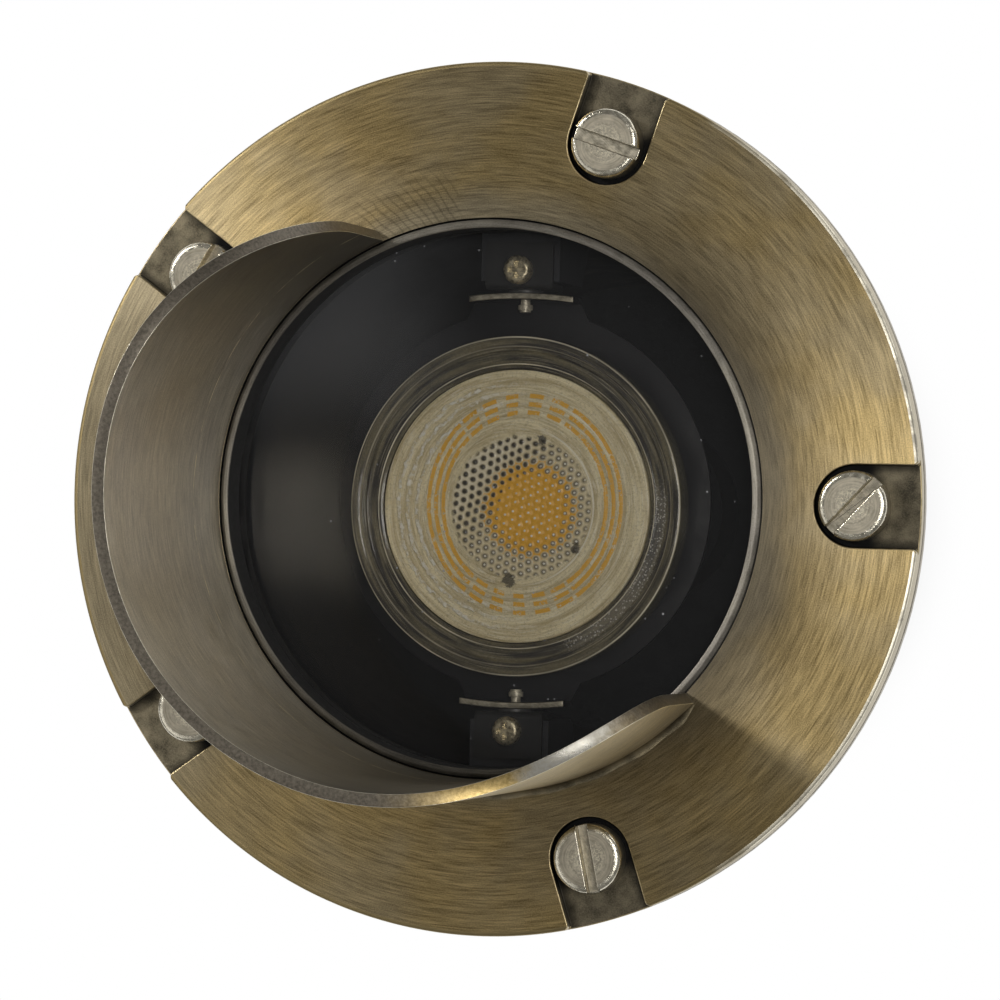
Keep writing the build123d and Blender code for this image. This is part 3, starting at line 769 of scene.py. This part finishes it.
def optic_plastic(name):
    """Moulded front lens: ripples, a broken amber ring and a honeycomb eye over the emitters."""
    g = Graph(name)
    p = g.vector("SUBTRACT", g.place(), (0.0, LAMP_Y, 0.0))
    radius, c, s, _ = g.polar(p)
    x, y, _ = g.split(p)
    flat = g.join(x, y, 0.0)
    grit = g.noise(p, 3.0, 3.0, 0.65)
    ragged = g.noise(p, 0.9, 4.0, 0.7)
    base, bands, ripples = optic_moulding(g, p, (radius, c, s), grit)
    colour = g.mix(amber_dashes(g, p, c, s, grit, ragged), base, (0.90, 0.50, 0.06))
    eye_colour, eye_mask, domes = optic_eye(g, p, flat, ragged)
    colour = g.mix(eye_mask, colour, eye_colour)

    # three dark feet of the moulding show at the eye's edge
    marks = None
    for mark_x, mark_y, size in ((3.9, 9.9, 0.75), (9.3, -6.2, 0.85), (-0.9, -10.9, 0.95)):
        spot = g.vector("LENGTH", g.vector("SUBTRACT", flat, (mark_x, mark_y, 0.0)))
        spot = g.plus(spot, g.drift(ragged, 2.4))
        spot = g.range(spot, size - 0.15, size + 0.15, 1.0, 0.0)
        marks = spot if marks is None else g.math("MAXIMUM", marks, spot)
    colour = g.mix(g.times(marks, 0.8), colour, srgb(40, 38, 35))

    rings = g.times(g.math("SINE", g.times(radius, 5.6)), g.range(radius, 10.8, 12.0))
    height = g.weighed((rings, 0.05), (bands, 0.35), (domes, 0.7), (ripples, 0.45), (grit, 0.28))
    normal = g.bump(height, 0.30, 1.0)
    return g.done(g.shader(Base_Color=colour, Roughness=0.21, IOR=1.45, Normal=normal))


# ring_brass: pale gives a grey patina by the bore, painted light at the left and painted shade beside
# the bore
ring_brass = brushed_metal(
    "ring_brass", (0.26, 0.190, 0.080), (0.74, 0.560, 0.265), (0.40, 0.355, 0.26),
    rough=0.37, pale=(41.5, 47.5, 0.75),
)
ring_side = brushed_metal(
    "ring_side", (0.44, 0.39, 0.29), (0.72, 0.66, 0.52), (0.50, 0.46, 0.37), rough=0.42
)
# notch_floor and notch_wall are one metal; the walls' lighter colours are painted light
notch_floor = notch_metal("notch_floor", (0.075, 0.064, 0.042), (0.32, 0.275, 0.185))
notch_wall = notch_metal("notch_wall", (0.26, 0.235, 0.18), (0.50, 0.455, 0.355), wall=True)
edge_gold = worn_edge("edge_gold", (0.62, 0.51, 0.30))
cowl_edge = worn_edge("cowl_edge", (1.0, 0.95, 0.78), rough=0.30)
# rim_bevel: the near-white on the +X side is a painted highlight
rim_bevel = worn_edge("rim_bevel", (0.98, 0.92, 0.76), plain=(0.32, 0.25, 0.125))
# cowl_inner: dim is painted shade, darker towards the cowl's two ends
cowl_inner = brushed_metal(
    "cowl_inner", (0.45, 0.405, 0.32), (0.80, 0.73, 0.59), (0.46, 0.425, 0.37), rough=0.38,
    line=(123.8, 0.09, (1.0, 0.9, 0.65)), dim=((-0.97, -0.25, 0.0), 12.0, 39.0, 0.68),
)
cowl_outer = brushed_metal(
    "cowl_outer", (0.31, 0.255, 0.15), (0.72, 0.59, 0.36), (0.42, 0.37, 0.27), rough=0.38
)
rim_metal = cowl_rim("rim_metal")
braze_brass = cast_metal("braze_brass", (0.10, 0.085, 0.055), (0.34, 0.285, 0.18), rough=0.40)
# lip_metal: dim is painted shade, darker on the side under the cowl
lip_metal = brushed_metal(
    "lip_metal", (0.24, 0.222, 0.185), (0.48, 0.445, 0.375), (0.25, 0.235, 0.225),
    rough=0.48, dim=((0.8, 0.6, 0.0), -14.0, 16.0, 0.40),
)
screw_steel = screw_face("screw_steel", (0.37, 0.335, 0.265), (0.62, 0.565, 0.45), (0.98, 0.91, 0.72))
screw_edge = scuffed_steel("screw_edge", (0.56, 0.52, 0.42), (0.96, 0.91, 0.76), rough=0.18)
slot_dark = scuffed_steel("slot_dark", (0.30, 0.275, 0.215), (0.62, 0.57, 0.46), rough=0.42)
black_can = moulded(
    "black_can", (0.024, 0.025, 0.029), (0.042, 0.043, 0.049),
    rough=0.6, grain=0.05, scale=1.4, specular=0.15,
)
black_paint = moulded(
    "black_paint", (0.013, 0.013, 0.014), (0.022, 0.022, 0.023), scale=2.4, specular=0.25
)
rubber = moulded("rubber", (0.010, 0.010, 0.010), (0.020, 0.020, 0.020), rough=0.62, grain=0.04)
potting = moulded("potting", (0.016, 0.016, 0.018), (0.030, 0.030, 0.032), rough=0.30, grain=0.02)
nylon = moulded("nylon", (0.040, 0.040, 0.040), (0.070, 0.070, 0.068), rough=0.40)
cast_flange = cast_metal("cast_flange", (0.34, 0.31, 0.25), (0.58, 0.54, 0.46), rough=0.46)
insert_brass = cast_metal("insert_brass", (0.45, 0.35, 0.16), (0.70, 0.56, 0.28), rough=0.34)
cradle_black = moulded(
    "cradle_black", (0.005, 0.005, 0.007), (0.011, 0.011, 0.014), scale=2.4, specular=0.25
)
ear_steel = scuffed_steel("ear_steel", (0.22, 0.20, 0.155), (0.56, 0.52, 0.42), rough=0.42)
ear_edge = worn_edge("ear_edge", (0.95, 0.88, 0.70), rough=0.34)
pin_steel = scuffed_steel("pin_steel", (0.34, 0.31, 0.24), (0.86, 0.80, 0.64), rough=0.36, metallic=0.4)
small_brass = scuffed_steel(
    "small_brass", (0.22, 0.19, 0.125), (0.80, 0.71, 0.50), rough=0.24, metallic=0.7
)
wire_steel = scuffed_steel("wire_steel", (0.30, 0.30, 0.30), (0.55, 0.55, 0.55), rough=0.3)
core_alloy = scuffed_steel("core_alloy", (0.40, 0.40, 0.41), (0.62, 0.62, 0.63), rough=0.34)
ceramic = moulded("ceramic", (0.66, 0.63, 0.56), (0.80, 0.77, 0.70), rough=0.55, scale=2.0)
amber = moulded("amber", (0.52, 0.27, 0.04), (0.70, 0.38, 0.07), rough=0.30, scale=2.0)
clear_pane = lens_glass("clear_pane")
cup_glass = lamp_glass("cup_glass")
optic = optic_plastic("optic")


# ---- CAD nodes

for name, material in {
    "housing": black_can,
    "housing_flange": cast_flange,
    "threaded_inserts": insert_brass,
    "lead_seal": potting,
    "flange_gasket": rubber,
    "lens_gasket": rubber,
    "lens": clear_pane,
    "tilt_bracket_rear": black_paint,
    "tilt_bracket_front": black_paint,
    "bracket_screws": small_brass,
    "pivot_washers": nylon,
    "lamp_clip": wire_steel,
    "led_board": amber,
    "lamp_core": core_alloy,
    "lamp_base": ceramic,
    "lamp_pins": pin_steel,
    "lamp_socket": ceramic,
}.items():
    dress(nodes[name], material)


# ---- trim ring


def screw_place(angle):
    """Middle of the trim screw that stands at an angle round the ring."""
    return SCREW_CIRCLE * cos(radians(angle)), SCREW_CIRCLE * sin(radians(angle))


def notch_outline():
    """Outline of a screw's recess, drawn about the screw with its mouth at +X."""
    half, corner = NOTCH_HALF, NOTCH_CORNER
    reach = RING_RADIUS + 2.0 - SCREW_CIRCLE
    mouth = sqrt(RING_RADIUS ** 2 - (half + corner) ** 2) - SCREW_CIRCLE - corner
    side = [(reach, half + corner), (mouth + corner, half + corner)]
    for t in [radians(a) for a in (90, 60, 30, 0)]:
        side.append((mouth + corner * sin(t), half + corner * (1 - cos(t))))
    round_end = [(half * cos(a), half * sin(a)) for a in [radians(90 + 7.5 * k) for k in range(25)]]
    other = [(x, -y) for x, y in reversed(side)]
    return side + round_end + other


def make_ring():
    bottom, floor = FACE - RING_THICKNESS, FACE - NOTCH_DEPTH
    outline = eased([
        (RING_BORE, bottom, 0.0), (RING_RADIUS, bottom, 0.3),
        (RING_RADIUS, FACE, 0.62), (RING_BORE, FACE, 0.0),
    ])
    ring = lathe("trim_ring_brass", outline, 360)
    tools = []
    for angle in SCREW_ANGLES:
        notch = turn(notch_outline(), angle, screw_place(angle))
        tools.append(prism("tool", notch, floor, FACE + 1))
    subtract(ring, tools)

    dress(ring, ring_brass, edge_gold, ring_side, notch_floor, notch_wall, rim_bevel)
    edge, side, recess, wall, rim = range(1, 6)
    bevel(ring, 0.17, 3, 40.0, material=edge, clamp=False)
    for face in ring.data.polygons:
        centre, normal = face.center * 1000, face.normal
        radius = hypot(centre.x, centre.y)
        if radius < RING_BORE + 0.7 and centre.z > FACE - 3.0:
            face.material_index = wall
        elif face.material_index == edge:
            if centre.z < floor + 0.25 and radius < RING_RADIUS - 0.5:
                face.material_index = recess
        elif abs(centre.z - floor) < 0.02 and normal.z > 0.9:
            face.material_index = recess
        elif radius > RING_RADIUS - 0.5 and normal.z < 0.35:
            face.material_index = side
        elif radius > RING_RADIUS - 0.55:
            face.material_index = rim
        elif normal.z < 0.5 and centre.z > floor and radius > 47.0:
            face.material_index = wall
    shade(ring, 42)
    flatten(ring)
    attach(ring, "fixture")
    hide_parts("trim_ring")


# ---- trim screws


def make_screws():
    floor = FACE - NOTCH_DEPTH
    top = floor + HEAD_HEIGHT
    half = SLOT_WIDTH / 2
    outline = eased([
        (0.0, floor - SCREW_LENGTH, 0.0), (THREAD_RADIUS, floor - SCREW_LENGTH, 0.6),
        (THREAD_RADIUS, floor, 0.0), (HEAD_RADIUS, floor, 0.15),
        (HEAD_RADIUS, top, 0.95), (0.0, top, 0.0),
    ], 8)
    heads = []
    for angle, slot in zip(SCREW_ANGLES, SLOT_TURNS):
        shift = screw_place(angle)
        head = lathe("screw", outline, 96, shift)
        blade = turn([(-8, -half), (8, -half), (8, half), (-8, half)], slot, shift)
        subtract(head, [prism("tool", blade, top - SLOT_DEPTH, top + 1)])
        dress(head, screw_steel, screw_edge, slot_dark)
        edge, dark = 1, 2
        bevel(head, 0.10, 3, 50.0, material=edge, clamp=False)
        for face in head.data.polygons:
            centre = face.center * 1000
            away = hypot(centre.x - shift[0], centre.y - shift[1])
            if away > 4.06 and centre.z > top - 1.0 and face.normal.z > 0.08:
                face.material_index = edge
            elif centre.z < top - 0.3 and away < 4.9 and centre.z > floor:
                face.material_index = dark
        heads.append(head)
    screws = join("trim_screw_heads", heads)
    shade(screws, 42)
    flatten(screws)
    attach(screws, "fixture")
    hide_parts("trim_screws")


# ---- cowl


def mouth_height(x):
    """Height of the cowl's edge above the ring, seen from the side."""
    centre = COWL_FRONT + COWL_ARC
    if x >= centre:
        return COWL_HEIGHT
    return COWL_HEIGHT - COWL_ARC + sqrt(max(COWL_ARC ** 2 - (x - centre) ** 2, 0.0))


def mouth_columns(radius):
    """Angle of the foot and of the edge of each column round the wall."""
    arc_steps, back_steps = 64, 48
    centre = COWL_FRONT + COWL_ARC
    start, last = acos(COWL_FRONT / radius), acos(centre / radius)
    half = []
    for k in range(arc_steps + 1):
        edge = acos((centre - COWL_ARC * cos(pi / 2 * k / arc_steps)) / radius)
        half.append((start + (last - start) * k / arc_steps, edge))
    for k in range(1, back_steps + 1):
        angle = last * (1 - k / back_steps)
        half.append((angle, angle))
    return half + [(-foot, -edge) for foot, edge in reversed(half[:-1])]


def cowl_mesh():
    """Wall of the cowl, bent from columns that run from its foot to its edge."""
    rows = 10
    verts, faces = [], []
    sides = []
    for radius in (COWL_RADIUS - COWL_WALL, COWL_RADIUS):
        side = []
        for foot, edge in mouth_columns(radius):
            top = mouth_height(radius * cos(edge))
            column = []
            for k in range(rows + 1):
                z = -COWL_SEAT + (top + COWL_SEAT) * k / rows
                column.append(len(verts))
                a = foot + (edge - foot) * k / rows + radians(COWL_TURN)
                verts.append((radius * cos(a), radius * sin(a), FACE + z))
            side.append(column)
        sides.append(side)
    inner, outer = sides
    count = len(inner)
    for i in range(count - 1):
        for k in range(rows):
            faces.append((inner[i][k], inner[i][k + 1], inner[i + 1][k + 1], inner[i + 1][k]))
            faces.append((outer[i][k], outer[i + 1][k], outer[i + 1][k + 1], outer[i][k + 1]))
        faces.append((inner[i][rows], outer[i][rows], outer[i + 1][rows], inner[i + 1][rows]))
        faces.append((inner[i][0], inner[i + 1][0], outer[i + 1][0], outer[i][0]))
    for i in (0, count - 1):
        for k in range(rows):
            faces.append((inner[i][k], outer[i][k], outer[i][k + 1], inner[i][k + 1]))
    return new_object("cowl_wall", verts, faces)


def braze_mesh():
    """Hollow fillet that joins the cowl to the ring, thin at its two ends."""
    half_angle, steps, fade_steps = 101.4, 150, 4
    section = [(0.0, 0.0), (BRAZE_LEG, 0.0)]
    for t in [radians(a) for a in (15, 30, 45, 60, 75)]:
        section.append((BRAZE_LEG * (1 - sin(t)), BRAZE_LEG * (1 - cos(t))))
    section.append((0.0, BRAZE_LEG))
    size = len(section)
    verts, faces = [], []
    for k in range(steps + 1):
        a = radians(COWL_TURN - half_angle + 2 * half_angle * k / steps)
        fade = min(1.0, min(k, steps - k) / fade_steps + 0.3)
        for out, height in section:
            r = COWL_RADIUS + out * fade * (0.9 + 0.1 * sin(a * 37))
            verts.append((r * cos(a), r * sin(a), FACE + height * fade))
    for k in range(steps):
        for i in range(size):
            j = (i + 1) % size
            faces.append((k * size + i, (k + 1) * size + i, (k + 1) * size + j, k * size + j))
    faces += [tuple(range(size)), tuple(range(steps * size, (steps + 1) * size))[::-1]]
    return new_object("cowl_braze", verts, faces)


def make_cowl():
    middle = COWL_RADIUS - COWL_WALL / 2
    cowl = cowl_mesh()
    dress(cowl, cowl_outer, cowl_edge, rim_metal, cowl_inner)
    edge, sawn, inside = range(1, 4)
    for face in cowl.data.polygons:
        centre = face.center * 1000
        radius = hypot(centre.x, centre.y)
        if abs(radius - middle) < 0.6 and centre.z > FACE:
            face.material_index = sawn
        elif radius < middle:
            face.material_index = inside
    bevel(cowl, 0.25, 4, 40.0, material=edge)
    shade(cowl, 42)
    braze = braze_mesh()
    dress(braze, braze_brass)
    for piece in (cowl, braze):
        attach(piece, "fixture")
        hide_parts("cowl")


# ---- lens ring


def make_lip():
    bottom, shoulder, top = FACE - 4.6, FACE - RING_THICKNESS, FACE + 0.4
    outline = eased([
        (LIP_BORE, bottom, 0.0), (42.6, bottom, 0.1), (42.6, shoulder, 0.0), (40.5, shoulder, 0.0),
        (40.5, FACE - 0.15, 0.1), (40.12, top - 0.1, 0.08), (39.95, top, 0.06), (LIP_BORE, top, 0.22),
    ])
    lip = lathe("lens_lip", outline, 360)
    dress(lip, lip_metal, rubber)
    for face in lip.data.polygons:
        centre = face.center * 1000
        if hypot(centre.x, centre.y) < LIP_BORE + 0.1 and centre.z < FACE:
            face.material_index = 1
    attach(lip, "fixture")
    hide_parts("lens_ring")


# ---- lamp

# Cup of the lamp: radius, depth below the lamp's rim and rounding of each corner
CUP_CORNERS = (
    (24.15, 0.0, 0.25), (25.35, 0.0, 0.55), (25.35, 5.5, 0.3), (24.35, 5.5, 0.2),
    (24.2, 9.0, 2.0), (22.9, 15.0, 2.0), (20.4, 20.0, 2.0), (15.9, 26.0, 2.0),
    (9.5, 31.0, 0.3), (8.35, 31.0, 0.2), (8.35, 28.0, 1.0), (17.0, 20.0, 1.0),
    (19.25, 8.0, 0.3), (19.25, 5.8, 0.0), (20.45, 5.8, 0.0), (20.45, 1.25, 0.15),
    (20.95, 1.1, 0.15), (21.2, 0.8, 0.1), (21.5, 0.95, 0.15), (22.9, 0.75, 0.2),
    (23.15, 0.5, 0.1), (23.6, 0.45, 0.1), (23.8, 0.15, 0.1),
)


def make_lamp():
    outline = eased([(radius, LAMP_TOP - depth, rounding) for radius, depth, rounding in CUP_CORNERS])
    cup = lathe("lamp_cup", outline, 288, (0.0, LAMP_Y), smooth_angle=50)
    dress(cup, cup_glass)
    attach(cup, "lamp_unit")
    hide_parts("lamp_body")

    rim, side_radius, face_radius = LAMP_TOP - 1.15, 20.3, 20.18
    outline = [(side_radius, rim - 4.6), (side_radius, rim - 0.12), (face_radius, rim)]
    steps = 60
    for k in range(1, steps + 1):
        radius = face_radius * (1 - k / steps)
        outline.append((max(radius, 0.0), rim + 0.5 * (1 - (radius / side_radius) ** 2)))
    outline += [(0.0, rim - 6.9), (8.56, rim - 6.9), (10.7, rim - 4.6)]
    front = lathe("lamp_front_lens", outline, 288, (0.0, LAMP_Y), smooth_angle=50)
    dress(front, optic)
    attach(front, "lamp_unit")
    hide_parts("lamp_optic")


# ---- cradle


def cradle_plate(bottom):
    """Plate under the lamp's rim, with a round hole for the lamp and a tongue each side."""
    plate_radius, hole_radius, arc_half, steps = 28.6, 24.4, 70.8, 60
    outline = []
    for turned in (0, 180):
        side = []
        for k in range(steps + 1):
            a = radians(-arc_half + 2 * arc_half * k / steps)
            side.append((plate_radius * cos(a), plate_radius * sin(a)))
        side += [(EAR_HALF, 30.0), (-EAR_HALF, 30.0)]
        outline += turn(side, turned)
    top = bottom + SHEET
    plate = prism("cradle_plate", outline, bottom, top)
    hole = []
    for k in range(144):
        a = 2 * pi * k / 144
        hole.append((hole_radius * cos(a), LAMP_Y + hole_radius * sin(a)))
    subtract(plate, [prism("tool", hole, bottom - 1, top + 1)])
    dress(plate, cradle_black, ear_edge, ear_steel)
    bevel(plate, 0.12, 2, 50.0)
    return plate


def cradle_ear(turned, bottom, top):
    """Ear turned up from the plate and bowed a little outwards."""
    bow, outside = 62.0, 30.9
    edge, bare = 1, 2
    steps = [-EAR_HALF + 2 * EAR_HALF * k / 24 for k in range(25)]
    outer = [(x, outside - bow + sqrt(bow ** 2 - x * x)) for x in steps]
    inner = [(x, outside - bow + sqrt((bow - SHEET) ** 2 - x * x)) for x in reversed(steps)]
    ear = prism("ear", turn(outer + inner, turned), bottom, top)
    dress(ear, cradle_black, ear_edge, ear_steel)
    for face in ear.data.polygons:
        if face.normal.z > 0.9:
            face.material_index = bare
    bevel(ear, 0.13, 3, 50.0)
    for face in ear.data.polygons:
        if face.center.z * 1000 > top - 0.2 and face.normal.z < 0.95:
            face.material_index = edge
    return ear


def make_cradle():
    bottom, ear_top = FACE - 22.4, FACE - 17.0
    pieces = [cradle_plate(bottom)]
    pieces += [cradle_ear(turned, bottom, ear_top) for turned in (0, 180)]
    cradle = join("cradle_plate_and_ears", pieces)
    shade(cradle, 42)
    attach(cradle, "lamp_unit")
    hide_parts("cradle")


def make_pins():
    """Pivot pins, each with a shouldered head between the ear and the lamp."""
    outline = eased([
        (0.0, 28.1, 0.0), (0.85, 28.1, 0.12), (0.85, 28.45, 0.0), (1.1, 28.45, 0.1),
        (1.1, 29.2, 0.1), (0.72, 29.2, 0.0), (0.72, 32.2, 0.05), (0.0, 32.2, 0.0),
    ])
    pins = []
    for side in (1, -1):
        pin = lathe("pivot_pin", outline, 48)
        lift = Matrix.Translation((0, 0, mm(PIVOT_HEIGHT)))
        pin.data.transform(lift @ Matrix.Rotation(radians(-90 * side), 4, "X"))
        dress(pin, pin_steel)
        pins.append(pin)
    pins = join("pivot_pin_pair", pins)
    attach(pins, "fixture")
    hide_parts("pivot_pins")


make_ring()
make_screws()
make_cradle()
make_pins()
make_cowl()
make_lip()
make_lamp()


# ---- floor, light, camera


def add_floor():
    half, level = 900, -0.05
    corners = [(-half, -half, level), (half, -half, level), (half, half, level), (-half, half, level)]
    floor = new_object("floor", corners, [(0, 1, 2, 3)])
    g = Graph("floor_paper")
    grain = g.noise(g.place(), 0.2, 3.0, 0.5)
    pale = g.mix(g.range(grain, 0.3, 0.7), (0.84, 0.84, 0.84), (0.88, 0.88, 0.88))
    shadow = g.node("ShaderNodeAmbientOcclusion", {"samples": 8}, Distance=mm(18)).outputs["AO"]
    diffuse = g.node("ShaderNodeBsdfDiffuse", Color=pale).outputs[0]
    glow = g.node("ShaderNodeEmission", Strength=g.ease(shadow, 0.1, 0.9, 0.62, 1.0)).outputs[0]
    ray = g.node("ShaderNodeLightPath").outputs
    mirrored = g.math("MAXIMUM", ray["Is Glossy Ray"], ray["Is Transmission Ray"])
    seen = g.math("MAXIMUM", ray["Is Camera Ray"], mirrored)
    dress(floor, g.done(g.blend(seen, diffuse, glow)))


def add_world():
    """White to the camera, and a dim warm room to everything else."""
    world = bpy.data.worlds.new("studio")
    bpy.context.scene.world = world
    world.use_nodes = True
    tree = world.node_tree
    tree.nodes.clear()
    out = tree.nodes.new("ShaderNodeOutputWorld")
    path = tree.nodes.new("ShaderNodeLightPath")
    white = tree.nodes.new("ShaderNodeBackground")
    room = tree.nodes.new("ShaderNodeBackground")
    mixer = tree.nodes.new("ShaderNodeMixShader")
    white.inputs[0].default_value = (1, 1, 1, 1)
    room.inputs[0].default_value = (1.0, 0.985, 0.95, 1)
    room.inputs[1].default_value = 0.19
    tree.links.new(path.outputs["Is Camera Ray"], mixer.inputs[0])
    tree.links.new(room.outputs[0], mixer.inputs[1])
    tree.links.new(white.outputs[0], mixer.inputs[2])
    tree.links.new(mixer.outputs[0], out.inputs[0])


def add_light(name, azimuth, elevation, distance, size, watts):
    """Area lamp that faces the ring; angles in degrees, distance and size in metres."""
    data = bpy.data.lights.new(name, "AREA")
    data.shape = "ELLIPSE"
    data.size, data.size_y = size
    data.energy = watts
    data.color = (1.0, 0.985, 0.96)
    light = bpy.data.objects.new(name, data)
    a, e = radians(azimuth), radians(elevation)
    aim = Vector((0, 0, mm(FACE)))
    light.location = aim + Vector((cos(e) * cos(a), cos(e) * sin(a), sin(e))) * distance
    light.rotation_euler = (aim - light.location).to_track_quat("-Z", "Y").to_euler()
    bpy.context.scene.collection.objects.link(light)


def add_camera():
    """The photo's camera, solved from the ring, its screws and the cowl; places in metres."""
    tilt, azimuth, roll = radians(14.86), radians(-3.07), radians(1.42)
    distance, focal_pixels, sensor, width_pixels = 0.67927, 4683.5, 36.0, 1000.0
    away = Vector((sin(tilt) * cos(azimuth), sin(tilt) * sin(azimuth), cos(tilt)))
    right = Vector((0, 1, 0)).cross(away).normalized()
    up = away.cross(right)
    right, up = right * cos(roll) + up * sin(roll), up * cos(roll) - right * sin(roll)
    data = bpy.data.cameras.new("camera")
    data.sensor_width = sensor
    data.lens = focal_pixels * sensor / width_pixels
    data.shift_x = 0.01339
    data.shift_y = -0.00177
    data.clip_start = 0.01
    data.clip_end = 20.0
    camera = bpy.data.objects.new("camera", data)
    spin = Matrix((right, up, away)).transposed().to_4x4()
    camera.matrix_world = Matrix.Translation(Vector((0, 0, mm(FACE))) + away * distance) @ spin
    bpy.context.scene.collection.objects.link(camera)
    bpy.context.scene.camera = camera


add_floor()
add_world()
add_light("key", 150, 38, 1.1, (0.20, 0.20), 4.2)
add_light("overhead", 8, 68, 1.0, (0.34, 0.34), 2.6)
add_light("fill", 205, 42, 1.0, (0.80, 0.60), 0.95)
add_light("card", 43, 6, 1.0, (0.14, 0.36), 0.42)
add_camera()
bpy.context.scene.view_settings.view_transform = "Standard"

bpy.context.view_layer.update()
